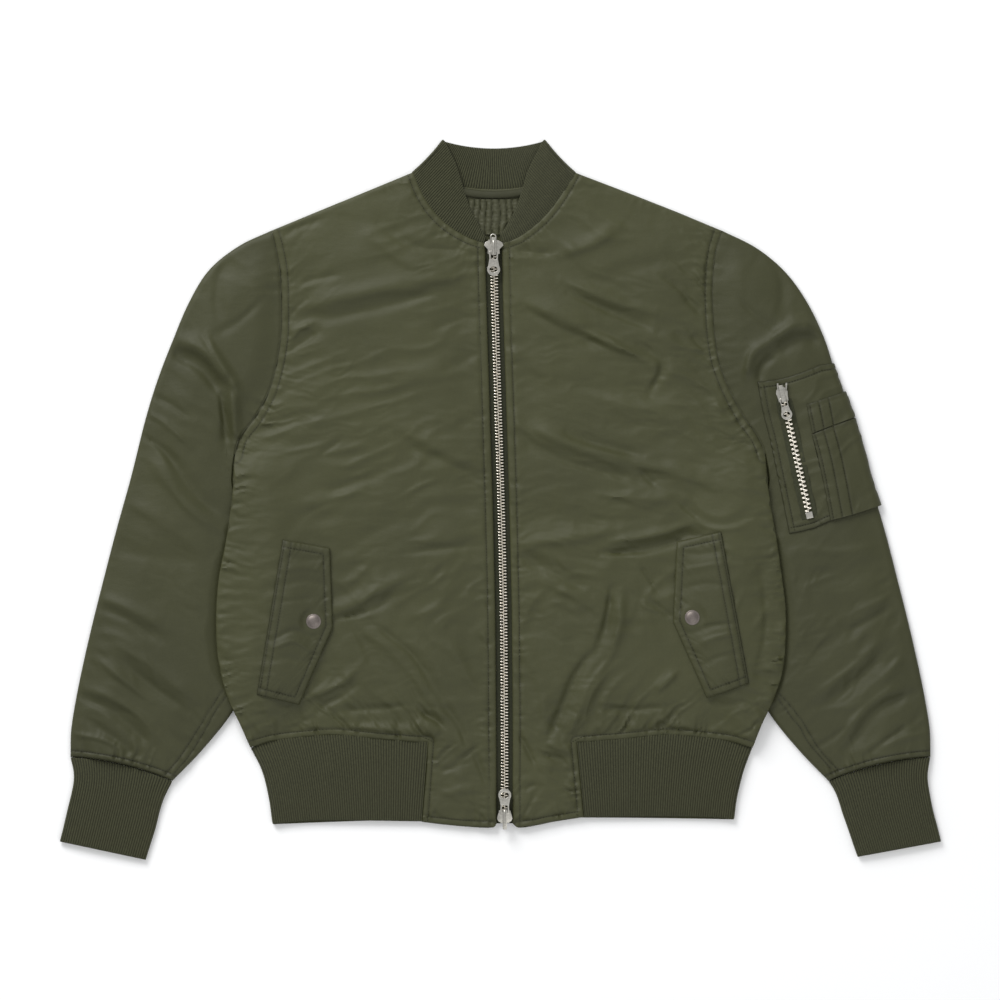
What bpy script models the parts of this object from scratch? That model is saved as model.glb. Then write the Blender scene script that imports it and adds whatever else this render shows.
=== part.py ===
"""A nylon bomber jacket, zipped up and laid flat on its back.

The frame: +X runs to the wearer's left sleeve, +Y to the collar and +Z up from the surface that the
jacket lies on, with the origin on that surface, below the middle of the jacket. Every table here is in
millimetres, and the meshes are in metres.

The layers, from the surface up: the back and the sleeves' lower walls; the sleeves' upper walls; the
fronts, whose side edges lie over the tucked-in sleeves; the pocket pieces, the zips and the snaps.
A piece is named for the wearer's side, so the right pieces are at -X.
"""

import math
from collections import namedtuple

import bmesh
import bpy
import numpy as np

MM = 0.001

# ---------------------------------------------------------------- driving sizes, millimetres
SHELL = 3.0  # nylon, wadding and lining together
RIB = 2.5  # knitted rib, collar, cuffs and hem
THIN = 1.5  # one turned layer of nylon
TAPE = 1.0  # woven zip tape
SEAM = 0.35  # between two pieces sewn edge to edge
LAYER = 0.4  # between two layers that lie on each other
GAP = 0.3  # under a small piece that lies on a panel
SLEEVE_THICK = 7.0  # both walls of a sleeve, pressed flat
SLEEVE_PUFF = 2.0  # how much the middle of a sleeve stands above that
LIFT = 8.4  # how far a side edge is raised where it lies over a sleeve
LIFT_FLAT = 20.0  # how far that raised strip runs inside the sleeve's edge
LIFT_FALL = 28.0  # and how far it takes to come down
ARMPIT_Y = 46.0
ARMPIT_RISE = 26.0  # length of the side edge that climbs onto the sleeve
ZIP_RISE = 1.5  # the fronts ride over the zip's tapes and the neck lining by this
ZIP_RISE_REACH = 30.0
FRONT_EDGE = 8.5  # from the zip's middle to each front's edge
RIB_TUCK = 0.9  # between the hem rib's ends and the hem squares
EDGE_ROLL = 3.0  # width of the strip in which an edge rounds off

RIGHT = -1
LEFT = 1
SIDE_NAMES = {RIGHT: "right", LEFT: "left"}

# ---------------------------------------------------------------- the cut, as it lies
EdgeRow = namedtuple("EdgeRow", "y right_x left_x")

# the zip's middle line
ZipRow = namedtuple("ZipRow", "y x")
ZIP_LINE = [ZipRow(-345, 4.5), ZipRow(-208, 4.0), ZipRow(-104, 3.0), ZipRow(0, 0.5),
            ZipRow(104, -2.8), ZipRow(208, -6.0), ZipRow(275, -7.5)]

# the body's side edge up to the armpit, and then the armhole up to the shoulder
BODY_EDGE = [EdgeRow(-257, -260, 262), EdgeRow(-234, -270, 271), EdgeRow(-206, -283, 284),
             EdgeRow(-177, -291, 293), EdgeRow(-146, -295, 296), EdgeRow(-112, -295, 296),
             EdgeRow(-78, -292, 292), EdgeRow(-42, -285, 287), EdgeRow(-8, -280, 281),
             EdgeRow(22, -277, 277), EdgeRow(46, -276, 275), EdgeRow(66, -270, 267),
             EdgeRow(86, -255, 253), EdgeRow(112, -241, 239), EdgeRow(140, -233, 228),
             EdgeRow(168, -228.5, 223), EdgeRow(192, -227.5, 221), EdgeRow(215, -228, 220),
             EdgeRow(238, -229, 221), EdgeRow(260, -233, 224), EdgeRow(280, -238, 230)]

# the seam between the fronts and the collar, from the zip to the shoulder
NECK_EDGE = [EdgeRow(268, -17, 1.5), EdgeRow(272.5, -31, 16), EdgeRow(283, -50, 32),
             EdgeRow(298, -67, 48), EdgeRow(317, -80, 62), EdgeRow(341, -90, 76)]

# the seam between the body and the hem rib, by its distance from the middle
HemSeam = namedtuple("HemSeam", "away y")
HEM_SEAM = [HemSeam(0, -250), HemSeam(80, -252), HemSeam(104, -250.5), HemSeam(130, -248.5),
            HemSeam(172, -244.5), HemSeam(208, -247), HemSeam(239, -251), HemSeam(261, -257)]

# the rows of a front: where each starts at the zip or the neck, and ends at the side or the armhole
FrontRow = namedtuple("FrontRow", "inner_y outer_y")
FRONT_ROWS = [FrontRow(-257, -257), FrontRow(-234, -234), FrontRow(-206, -206),
              FrontRow(-177, -177), FrontRow(-146, -146), FrontRow(-112, -112),
              FrontRow(-78, -78), FrontRow(-42, -42), FrontRow(-8, -8), FrontRow(22, 22),
              FrontRow(46, 46), FrontRow(90, 66), FrontRow(134, 86), FrontRow(178, 112),
              FrontRow(222, 140), FrontRow(268, 168), FrontRow(272.5, 192), FrontRow(283, 215),
              FrontRow(298, 238), FrontRow(317, 260), FrontRow(341, 280)]

# the squares of shell cloth that take the zip down to the hem, beside the rib
SquareRow = namedtuple("SquareRow", "inner_y outer_y right_x left_x")
HEM_SQUARE = [SquareRow(-341, -334, -82, 87), SquareRow(-297, -294, -79, 84),
              SquareRow(-250, -252, -76, 80)]

# the rows of the back above the shoulder points, which the neck cuts into
BackRow = namedtuple("BackRow", "y right_x left_x neck_dip")
BACK_TOP = [BackRow(300, -190, 182, 2), BackRow(320, -141, 131, 7), BackRow(341, -90, 76, 18)]

# a sleeve's cross lines, from the armhole to the cuff: outer edge, inner edge
SleeveRow = namedtuple("SleeveRow", "right_ox right_oy left_ox left_oy right_ix left_ix inner_y armhole")
SLEEVE_ROWS = [SleeveRow(-238, 280, 230, 280, -276.4, 275.4, 46, 1.0),
               SleeveRow(-272, 264, 266, 262, -277.6, 276.8, 37, 0.75),
               SleeveRow(-303, 239, 296, 237, -278.2, 278.0, 28, 0.5),
               SleeveRow(-324, 205, 319, 205, -278.6, 278.6, 19, 0.3),
               SleeveRow(-341, 165, 337, 167, -276, 276, 7, 0.16),
               SleeveRow(-356, 126, 350, 126, -271, 271, -10, 0.07),
               SleeveRow(-369, 84, 366, 84, -266, 266, -32, 0.0),
               SleeveRow(-384, 24, 383, 24, -261, 261, -70, 0.0),
               SleeveRow(-399, -30, 399, -30, -258, 258, -112, 0.0),
               SleeveRow(-413, -84, 413, -84, -258, 258, -152, 0.0),
               SleeveRow(-426, -136, 426, -136, -263, 263, -190, 0.0),
               SleeveRow(-438, -190, 438, -190, -281, 281, -224, 0.0),
               SleeveRow(-446, -236, 446, -236, -311, 311, -261, 0.0),
               SleeveRow(-447, -267, 447, -267, -341, 341, -292, 0.0)]
# the middle of the last line bows towards the shoulder, where the rib gathers the cloth
CUFF_SEAM_BOW = 5.0

CuffRow = namedtuple("CuffRow", "right_ox right_oy right_ix right_iy left_ox left_oy left_ix left_iy")
CUFF_ROWS = [CuffRow(-447, -267, -341, -292, 447, -267, 341, -292),
             CuffRow(-443.5, -288, -350, -311, 444, -288, 350, -308),
             CuffRow(-448, -314, -358.5, -340, 448, -314, 360, -339),
             CuffRow(-458, -355, -369, -374, 458, -355, 371, -371)]

# the hem rib: how far each line lies below the seam, and where its side folds are
HemRow = namedtuple("HemRow", "drop right_side left_side")
HEM_ROWS = [HemRow(0, -260, 262), HemRow(24, -248, 253), HemRow(52, -241, 246), HemRow(78, -237, 243)]

# the collar: its seam is the neck's own line, and its top edge lies inside it at the front
TopRow = namedtuple("TopRow", "right_x right_y left_x left_y")
COLLAR_TOP = [TopRow(-15.5, 274, -0.5, 276), TopRow(-23, 287, 6, 285), TopRow(-32, 305, 15, 302),
              TopRow(-39, 326, 22, 321), TopRow(-46, 348, 29, 343), TopRow(-59, 374.1, 45, 374.1)]
COLLAR_BACK_DIP = 7.0  # the back's top edge sags by this between the two folds

# the largest folds of the fronts and the sleeves: a ridge's two ends, its height and half its width
Fold = namedtuple("Fold", "x0 y0 x1 y1 height reach")
FOLDS = [Fold(-208, 198, -32, 234, 1.9, 15), Fold(-105, 62, -21, 25, 1.2, 14),
         Fold(-208, -8, -140, 12, 1.4, 12), Fold(-172, -120, -92, -79, 1.7, 13),
         Fold(-208, -210, -147, -176, 1.7, 13), Fold(-150, -238, -66, -238, 1.8, 13),
         Fold(-140, -128, -52, -246, 1.3, 15), Fold(21, 208, 156, 146, 1.8, 15),
         Fold(66, 228, 166, 194, 1.2, 12), Fold(104, 104, 208, 78, 1.4, 15),
         Fold(22, 76, 214, 18, 1.7, 14), Fold(22, -47, 126, -32, 1.4, 13),
         Fold(135, -104, 73, -246, 1.7, 14), Fold(104, -70, 190, -48, 1.2, 12),
         Fold(-333, 166, -281, 70, 1.8, 16), Fold(318, 178, 262, 128, 1.8, 16),
         Fold(-322, -12, -280, -26, 1.2, 13), Fold(-416, -160, -330, -232, 1.2, 14),
         Fold(408, -120, 340, -196, 1.2, 14), Fold(-408, -100, -340, -130, 1.0, 13)]

# ---------------------------------------------------------------- what lies on the cloth
Corner = namedtuple("Corner", "x y")
FLAP_RIGHT = [Corner(-226, -41), Corner(-177, -50), Corner(-174, -132), Corner(-209, -213),
              Corner(-253, -202)]
FLAP_LEFT = [Corner(229, -33), Corner(183, -43), Corner(179, -127), Corner(214, -206),
             Corner(258, -190)]
SNAP_AT = {RIGHT: Corner(-194, -126), LEFT: Corner(199, -122)}
SNAP_RADIUS = 7.9
SNAP_HEIGHT = 2.6

# the sleeve pocket: its upper edge, its lower edge and the pen pocket's edges, each from the
# zip's side to the sleeve's outer fold
ARM_POCKET = [Corner(266, 118), Corner(343, 141), Corner(388, -6), Corner(302, -35)]
PEN_UPPER = [Corner(318, 99), Corner(358, 112), Corner(366, 86), Corner(324, 70)]
PEN_LOWER = [Corner(324, 68.5), Corner(366, 84.5), Corner(386, -8), Corner(343, -21)]
ARM_ZIP_TOP = Corner(291, 118)
ARM_ZIP_END = Corner(321.5, -19)
ARM_ZIP_WIDTH = 7.0
ARM_TAPE_HALF = 9.0
ARM_TAPE_THICK = 0.8
ARM_CHAIN_THICK = 2.2
ARM_STOP_THICK = 2.6
ARM_PULL_REACH = 26.0  # the pull lies within this of its hinge
ARM_STOP_LENGTH = 6.5
ARM_SLIDER_AT = Corner(293.5, 105)

CHAIN_WIDTH = 7.6
CHAIN_THICK = 2.6
TAPE_REACH = 16.0  # from the zip's middle line to a tape's outer edge, under the front
TOP_HINGE_Y = 258.0
BOTTOM_HINGE_Y = -325.0

Pull = namedtuple("Pull", "neck_half ring_radius ring_at")
ZIP_PULL = Pull(4.9, 6.8, -18.5)
ARM_PULL = Pull(4.2, 5.8, -16.5)
PULL_THICK = 1.6
PULL_CLEAR = 0.55  # between the pull and what it lies on
BAR_HALF = 0.9  # the pull's hinge bar, half its depth
SLOT_HALF = 2.9
SLOT_END = -7.8
BRIDGE_HALF = 2.2
BRIDGE_THICK = 1.5
PLATE_THICK = 2.4

ROUND_STEPS = 24


# ---------------------------------------------------------------- curves and heights
def step(value):
    """A soft ramp from 0 to 1."""
    value = np.clip(value, 0.0, 1.0)
    return value * value * (3.0 - 2.0 * value)


def between(rows, key, value, name):
    """The named column of a table, read at a value of its key column."""
    keys = [getattr(row, key) for row in rows]
    return np.interp(value, keys, [getattr(row, name) for row in rows])


def zip_x(y):
    return between(ZIP_LINE, "y", y, "x")


def body_edge_x(y, side):
    return between(BODY_EDGE, "y", y, SIDE_NAMES[side] + "_x")


def inner_edge_x(y, side):
    """A front's inner edge: along the zip, and then round the neck."""
    if y < NECK_EDGE[0].y:
        return zip_x(y) + side * FRONT_EDGE
    return between(NECK_EDGE, "y", y, SIDE_NAMES[side] + "_x")


def sleeve_inner(side):
    """The sleeve's inner edge as one line, from the cuff up to the armpit."""
    name = SIDE_NAMES[side] + "_ix"
    rows = sorted(SLEEVE_ROWS, key=lambda row: row.inner_y)
    return [row.inner_y for row in rows], [getattr(row, name) for row in rows]


def sleeve_outer(side):
    name = SIDE_NAMES[side]
    return [(getattr(row, name + "_ox"), getattr(row, name + "_oy")) for row in SLEEVE_ROWS]


def distance(x, y, points):
    """How far a place is from a line of straight pieces."""
    best = np.full(np.shape(x), 1e9)
    for (x0, y0), (x1, y1) in zip(points, points[1:]):
        length2 = (x1 - x0) ** 2 + (y1 - y0) ** 2
        along = np.clip(((x - x0) * (x1 - x0) + (y - y0) * (y1 - y0)) / length2, 0, 1)
        best = np.minimum(best, np.hypot(x - x0 - along * (x1 - x0), y - y0 - along * (y1 - y0)))
    return best


def folds(x, y):
    """The height that the large folds add."""
    total = np.zeros(np.shape(x))
    for fold in FOLDS:
        away = distance(x, y, [(fold.x0, fold.y0), (fold.x1, fold.y1)])
        total = total + fold.height * np.exp(-((away / fold.reach) ** 2))
    return np.minimum(total, 2.0)


def lift(x, y):
    """How far the body is raised by the sleeve that is tucked under its side."""
    side = np.where(np.asarray(x) < 0, RIGHT, LEFT)
    heights = []
    for one in (RIGHT, LEFT):
        ys, xs = sleeve_inner(one)
        past = np.abs(x) - np.abs(np.interp(y, ys, xs))
        heights.append(LIFT * step((past + LIFT_FLAT + LIFT_FALL) / LIFT_FALL))
    height = np.where(side == RIGHT, heights[0], heights[1])
    return height * step((ARMPIT_Y - np.asarray(y)) / ARMPIT_RISE)


def back_under(x, y):
    return lift(x, y)


def front_under(x, y):
    """The underside of a front: on the back, over the tapes and the lining, and up in the folds."""
    from_zip = np.abs(x - zip_x(y))
    neck = distance(x, y, [(zip_x(268), 268.0), (-8.0, 341.0)])
    rise = step((ZIP_RISE_REACH + 10.0 - from_zip) / ZIP_RISE_REACH)
    rise = np.maximum(rise, step((110.0 - neck) / 60.0))
    return lift(x, y) + SHELL + LAYER + ZIP_RISE * rise + 0.9 * folds(x, y)


def sleeve_top(x, y, side):
    """The upper face of a flat sleeve, away from its rounded edges."""
    ys, xs = sleeve_inner(side)
    inner_line = list(zip(xs, ys))
    inner = distance(x, y, inner_line)
    outer = distance(x, y, sleeve_outer(side))
    puff = SLEEVE_PUFF * step((inner - 36.0) / 50.0) * step(outer / 45.0)
    return SLEEVE_THICK + np.minimum(puff + folds(x, y) * step((inner - 30.0) / 20.0), 2.4)


def rim(height, away):
    """A flat tube's upper face, rounded off within a quarter of its width."""
    half = height / 2.0
    inside = np.clip(1.0 - away / half, 0.0, 1.0)
    return half + half * np.sqrt(1.0 - inside * inside)


# ---------------------------------------------------------------- solids
def material(name, colour, roughness, metallic=0.0):
    made = bpy.data.materials.new(name)
    made.use_nodes = True
    shader = made.node_tree.nodes["Principled BSDF"]
    shader.inputs["Base Color"].default_value = (*colour, 1.0)
    shader.inputs["Roughness"].default_value = roughness
    shader.inputs["Metallic"].default_value = metallic
    return made


def add_object(name, points, faces, look):
    """A closed mesh, its faces turned outwards, from points in millimetres."""
    mesh = bpy.data.meshes.new(name)
    mesh.from_pydata([tuple(float(v) * MM for v in point) for point in points], [], faces)
    shape = bmesh.new()
    shape.from_mesh(mesh)
    loose = [vert for vert in shape.verts if not vert.link_faces]
    bmesh.ops.delete(shape, geom=loose, context="VERTS")
    bmesh.ops.triangulate(shape, faces=shape.faces)
    bmesh.ops.recalc_face_normals(shape, faces=shape.faces)
    shape.to_mesh(mesh)
    shape.free()
    made = bpy.data.objects.new(name, mesh)
    bpy.context.scene.collection.objects.link(made)
    mesh.materials.append(look)
    return made


def slab(name, plan, under, over, look, kept=None):
    """A sheet of cloth from a grid of places, with a lower and an upper height at each.

    kept says which cells the sheet has, where it isn't a plain rectangle of them. Each cell is
    split from its outer lower corner to its inner upper one, so that layers split alike.
    """
    rows, columns = plan.shape[:2]
    if kept is None:
        kept = np.ones((rows - 1, columns - 1), bool)
    points = [(*plan[i, j], under[i, j]) for i in range(rows) for j in range(columns)]
    points += [(*plan[i, j], over[i, j]) for i in range(rows) for j in range(columns)]
    upper = rows * columns

    def at(i, j, layer):
        return i * columns + j + layer * upper

    def has(i, j):
        return 0 <= i < rows - 1 and 0 <= j < columns - 1 and kept[i, j]

    faces = []
    for i in range(rows - 1):
        for j in range(columns - 1):
            if not kept[i, j]:
                continue
            corners = [(i, j), (i, j + 1), (i + 1, j + 1), (i + 1, j)]
            beside = [(i - 1, j), (i, j + 1), (i + 1, j), (i, j - 1)]
            outer_first = abs(plan[i, j, 0]) > abs(plan[i, j + 1, 0])
            turn = corners if outer_first else corners[1:] + corners[:1]
            for half in (turn[:3], [turn[2], turn[3], turn[0]]):
                faces.append([at(*corner, 1) for corner in half])
                faces.append([at(*corner, 0) for corner in reversed(half)])
            for k, cell in enumerate(beside):
                if not has(*cell):
                    a, b = corners[k], corners[(k + 1) % 4]
                    faces.append([at(*a, 0), at(*b, 0), at(*b, 1), at(*a, 1)])
    return add_object(name, points, faces, look)


def tube(name, outer, inner, look):
    """An open tube from rings of points: its outer face, its inner face and the two rims."""
    rings, around = outer.shape[:2]
    points = [tuple(p) for ring in outer for p in ring] + [tuple(p) for ring in inner for p in ring]
    shift = rings * around
    faces = []
    for i in range(rings - 1):
        for k in range(around):
            n = (k + 1) % around
            a, b, c, d = i * around + k, i * around + n, (i + 1) * around + n, (i + 1) * around + k
            faces.append([a, b, c, d])
            faces.append([shift + d, shift + c, shift + b, shift + a])
    for i in (0, rings - 1):
        for k in range(around):
            n = (k + 1) % around
            faces.append([i * around + k, i * around + n, shift + i * around + n, shift + i * around + k])
    return add_object(name, points, faces, look)


def band(name, outer, inner, look):
    """A strip of cloth that may fold over: the points of its outer face, and of its inner face."""
    rows, columns = outer.shape[:2]
    points = [tuple(p) for p in inner.reshape(-1, 3)] + [tuple(p) for p in outer.reshape(-1, 3)]
    shift = rows * columns
    faces = []
    for i in range(rows - 1):
        for j in range(columns - 1):
            a, b = i * columns + j, i * columns + j + 1
            c, d = b + columns, a + columns
            faces.append([a, d, c, b])
            faces.append([shift + a, shift + b, shift + c, shift + d])
    edge = [(i, 0) for i in range(rows)] + [(rows - 1, j) for j in range(1, columns)]
    edge += [(i, columns - 1) for i in range(rows - 2, -1, -1)]
    edge += [(0, j) for j in range(columns - 2, 0, -1)]
    for (i, j), (m, n) in zip(edge, edge[1:] + edge[:1]):
        a, b = i * columns + j, m * columns + n
        faces.append([a, b, shift + b, shift + a])
    return add_object(name, points, faces, look)


def prism(name, loops, low, high, look):
    """A flat plate from an outline and its holes."""
    shape = bmesh.new()
    for loop in loops:
        verts = [shape.verts.new((x, y, low)) for x, y in loop]
        for a, b in zip(verts, verts[1:] + verts[:1]):
            shape.edges.new((a, b))
    bmesh.ops.triangle_fill(shape, use_beauty=True, edges=shape.edges[:])
    made = bmesh.ops.extrude_face_region(shape, geom=shape.faces[:])
    for item in made["geom"]:
        if isinstance(item, bmesh.types.BMVert):
            item.co.z = high
    bmesh.ops.recalc_face_normals(shape, faces=shape.faces)
    shape.verts.index_update()
    points = [tuple(vert.co) for vert in shape.verts]
    faces = [[vert.index for vert in face.verts] for face in shape.faces]
    shape.free()
    return add_object(name, points, faces, look)


def patch(name, base, outline, clear, thick, look, above=0.0):
    """A piece that lies on another: the upper faces inside its outline, moved up and thickened.

    above leaves out the faces inside a flattened tube, which also look up.
    """
    shape = bmesh.new()
    shape.from_mesh(base.data)
    under = [face for face in shape.faces
             if face.normal.z < 0.05 or face.calc_center_median().z < above * MM]
    bmesh.ops.delete(shape, geom=under, context="FACES")
    area = sum(a.x * b.y - b.x * a.y for a, b in zip(outline, outline[1:] + outline[:1]))
    turn = 1.0 if area > 0 else -1.0
    for a, b in zip(outline, outline[1:] + outline[:1]):
        everything = shape.verts[:] + shape.edges[:] + shape.faces[:]
        away = (turn * (b.y - a.y), -turn * (b.x - a.x), 0.0)
        bmesh.ops.bisect_plane(shape, geom=everything, dist=1e-6, plane_co=(a.x * MM, a.y * MM, 0.0),
                               plane_no=away, clear_outer=True)
    bmesh.ops.remove_doubles(shape, verts=shape.verts, dist=2e-5)
    bmesh.ops.dissolve_degenerate(shape, dist=2e-5, edges=shape.edges)
    made = bmesh.ops.extrude_face_region(shape, geom=shape.faces[:])
    for item in made["geom"]:
        if isinstance(item, bmesh.types.BMVert):
            item.co.z += thick * MM
    for vert in shape.verts:
        vert.co.z += clear * MM
    shape.verts.index_update()
    points = [tuple(value / MM for value in vert.co) for vert in shape.verts]
    faces = [[vert.index for vert in face.verts] for face in shape.faces]
    shape.free()
    return add_object(name, points, faces, look)


def top_within(base, x, y, reach):
    """The highest corner or middle of a piece's faces near a place, in millimetres."""
    best = 0.0
    for face in base.data.polygons:
        corners = [base.data.vertices[k].co for k in face.vertices]
        spots = corners + [face.center] + [(a + b) / 2 for a, b in zip(corners, corners[1:] + corners[:1])]
        for spot in spots:
            if math.hypot(spot.x / MM - x, spot.y / MM - y) < reach:
                best = max(best, spot.z / MM)
    return best


# ---------------------------------------------------------------- the body
SQUARE_CELLS = 3
SIDE_CELLS = 5
SQUARE_ROWS = len(HEM_SQUARE) - 1


def hem_y(x):
    return between(HEM_SEAM, "away", np.abs(x), "y")


def front_parts(side):
    """The columns of a front, as parts of the way from its inner edge to its outer edge."""
    hem = FRONT_ROWS[0]
    start = inner_edge_x(hem.inner_y, side)
    width = body_edge_x(hem.outer_y, side) - start
    square = (getattr(HEM_SQUARE[-1], SIDE_NAMES[side] + "_x") - start) / width
    parts = [square * j / SQUARE_CELLS for j in range(SQUARE_CELLS)]
    parts += [square + (1.0 - square) * j / SIDE_CELLS for j in range(SIDE_CELLS)]
    return parts + [1.0 - EDGE_ROLL / abs(width), 1.0]


def front_plan(side):
    """The places of a front's grid, from the zip outwards and from the hem up."""
    parts = front_parts(side)
    plan = np.zeros((SQUARE_ROWS + len(FRONT_ROWS), len(parts), 2))
    for i, row in enumerate(HEM_SQUARE[:-1]):
        inner_x = inner_edge_x(row.inner_y, side)
        for j in range(len(parts)):
            part = min(j / SQUARE_CELLS, 1.0)
            plan[i, j] = (inner_x + part * (getattr(row, SIDE_NAMES[side] + "_x") - inner_x),
                          row.inner_y + part * (row.outer_y - row.inner_y))
    for i, row in enumerate(FRONT_ROWS):
        inner_x, outer_x = inner_edge_x(row.inner_y, side), body_edge_x(row.outer_y, side)
        for j, part in enumerate(parts):
            x = inner_x + part * (outer_x - inner_x)
            y = hem_y(x) if i == 0 else row.inner_y + part * (row.outer_y - row.inner_y)
            plan[SQUARE_ROWS + i, j] = (x, y)
    return plan


def front(side, look):
    plan = front_plan(side)
    under = front_under(plan[..., 0], plan[..., 1])
    over = under + SHELL
    over[:, -1] -= 0.4 * SHELL
    kept = np.ones((plan.shape[0] - 1, plan.shape[1] - 1), bool)
    kept[:SQUARE_ROWS, SQUARE_CELLS:] = False
    return slab("front_" + SIDE_NAMES[side], plan, under, over, look, kept)


def back_plan():
    """The places of the back's grid, from the right to the left and from the hem up.

    Up to the armpits they are the fronts' own places, so the layers lie on each other.
    """
    rows = [(row.outer_y, body_edge_x(row.outer_y, RIGHT), body_edge_x(row.outer_y, LEFT), 0.0)
            for row in FRONT_ROWS]
    rows += [tuple(row) for row in BACK_TOP]
    plan = np.zeros((len(rows), 2 * len(front_parts(RIGHT)), 2))
    for i, (y, right_x, left_x, dip) in enumerate(rows):
        places = []
        for side, outer_x in ((RIGHT, right_x), (LEFT, left_x)):
            inner_x = zip_x(y) + side * FRONT_EDGE
            xs = [inner_x + part * (outer_x - inner_x) for part in front_parts(side)]
            places += xs[::-1] if side == RIGHT else xs
        for j, x in enumerate(places):
            across = (2.0 * x - right_x - left_x) / (left_x - right_x)
            plan[i, j] = (x, hem_y(x) if i == 0 else y - dip * (1.0 - across * across))
    return plan


def back(look):
    plan = back_plan()
    under = back_under(plan[..., 0], plan[..., 1])
    return slab("back_panel", plan, under, under + SHELL, look)


# ---------------------------------------------------------------- the sleeves and the cuffs
RIM_OUTER = [0.0, 1.0, 3.6]
RIM_INNER = [SHELL, SHELL + 0.6, SHELL + 2.2]


def armhole_parts():
    """The armhole's corners, as parts of the way from the shoulder to the armpit."""
    ys = [row.outer_y for row in FRONT_ROWS if row.outer_y >= ARMPIT_Y]
    span = ys[-1] - ys[0]
    return [(ys[-1] - y) / span for y in reversed(ys)][1:-1], ys[-1], span


def cross_line(start, end, bend, rims, parts):
    """A line across a flat tube: its own corners and the rounding at both edges, with its lengths."""
    length = math.dist(start, end)
    cuts = [r / length for r in rims] + list(parts) + [1.0 - r / length for r in reversed(rims)]
    places = []
    for cut in cuts:
        places.append((start[0] + cut * (end[0] - start[0]) + bend(cut)[0],
                       start[1] + cut * (end[1] - start[1]) + bend(cut)[1],
                       min(cut, 1.0 - cut) * length))
    return np.array(places)


def tube_ring(outer_line, inner_line, top, thick, wall):
    """The rings of a flattened tube's outer and inner face, from its line across."""
    half = thick / 2.0
    height = top(outer_line[:, 0], outer_line[:, 1])
    round_off = rim(thick, outer_line[:, 2]) - half
    upper = half + round_off / half * (height - half)
    lower = half - round_off
    outer = [(*p[:2], z) for p, z in zip(outer_line, upper)]
    outer += [(*p[:2], z) for p, z in list(zip(outer_line, lower))[-2:0:-1]]
    height = top(inner_line[:, 0], inner_line[:, 1])
    opens = np.clip((inner_line[:, 2] - wall) / 2.2, 0.0, 1.0)
    upper = half + opens * (height - wall - half)
    lower = half - opens * (half - wall)
    inner = [(*p[:2], z) for p, z in zip(inner_line, upper)]
    inner += [(*p[:2], z) for p, z in list(zip(inner_line, lower))[-2:0:-1]]
    return outer, inner


def sleeve(side, look):
    name = SIDE_NAMES[side]
    parts, shoulder_y, span = armhole_parts()
    first = SLEEVE_ROWS[0]
    start = (getattr(first, name + "_ox"), first.right_oy)
    end = (getattr(first, name + "_ix"), first.inner_y)
    knots = [0.0] + list(parts) + [1.0]
    off = [body_edge_x(shoulder_y - k * span, side) - start[0] - k * (end[0] - start[0]) for k in knots]
    off[0] = off[-1] = 0.0
    outer_rings, inner_rings = [], []
    for row in SLEEVE_ROWS:
        last = row is SLEEVE_ROWS[-1]
        shift = side * 2.0 * SEAM if row is first else 0.0
        bow = CUFF_SEAM_BOW if last else 0.0

        def bend(cut, row=row, shift=shift, bow=bow):
            return row.armhole * np.interp(cut, knots, off) + shift, bow * 4.0 * cut * (1.0 - cut)

        outer_at = (getattr(row, name + "_ox"), getattr(row, name + "_oy"))
        inner_at = (getattr(row, name + "_ix"), row.inner_y)
        lines = [cross_line(outer_at, inner_at, bend, rims, parts) for rims in (RIM_OUTER, RIM_INNER)]
        outer, inner = tube_ring(*lines, lambda x, y: sleeve_top(x, y, side), SLEEVE_THICK, SHELL)
        outer_rings.append(outer)
        inner_rings.append(inner)
    return tube("sleeve_" + name, np.array(outer_rings), np.array(inner_rings), look)


def cuff(side, look):
    name = SIDE_NAMES[side]
    parts = armhole_parts()[0]
    thick = SLEEVE_THICK - 0.6
    outer_rings, inner_rings = [], []
    for k, row in enumerate(CUFF_ROWS):
        bow = CUFF_SEAM_BOW * (1.0 - k / (len(CUFF_ROWS) - 1))
        gap = -1.6 * SEAM if k == 0 else 0.0

        def bend(cut, bow=bow, gap=gap):
            return 0.0, gap + bow * 4.0 * cut * (1.0 - cut)

        outer_at = (getattr(row, name + "_ox"), getattr(row, name + "_oy"))
        inner_at = (getattr(row, name + "_ix"), getattr(row, name + "_iy"))
        rims = [0.0, 1.0, 3.2], [RIB, RIB + 0.6, RIB + 2.2]
        lines = [cross_line(outer_at, inner_at, bend, r, parts) for r in rims]
        outer, inner = tube_ring(*lines, lambda x, y: np.full(np.shape(x), thick), thick, RIB)
        outer_rings.append(outer)
        inner_rings.append(inner)
    return tube("cuff_" + name, np.array(outer_rings), np.array(inner_rings), look)


# ---------------------------------------------------------------- the hem rib and the collar
FOLD_ANGLES = (-54.0, -18.0, 18.0, 54.0)
HEM_BOTTOM = {RIGHT: -334.0, LEFT: -330.0}


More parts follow.
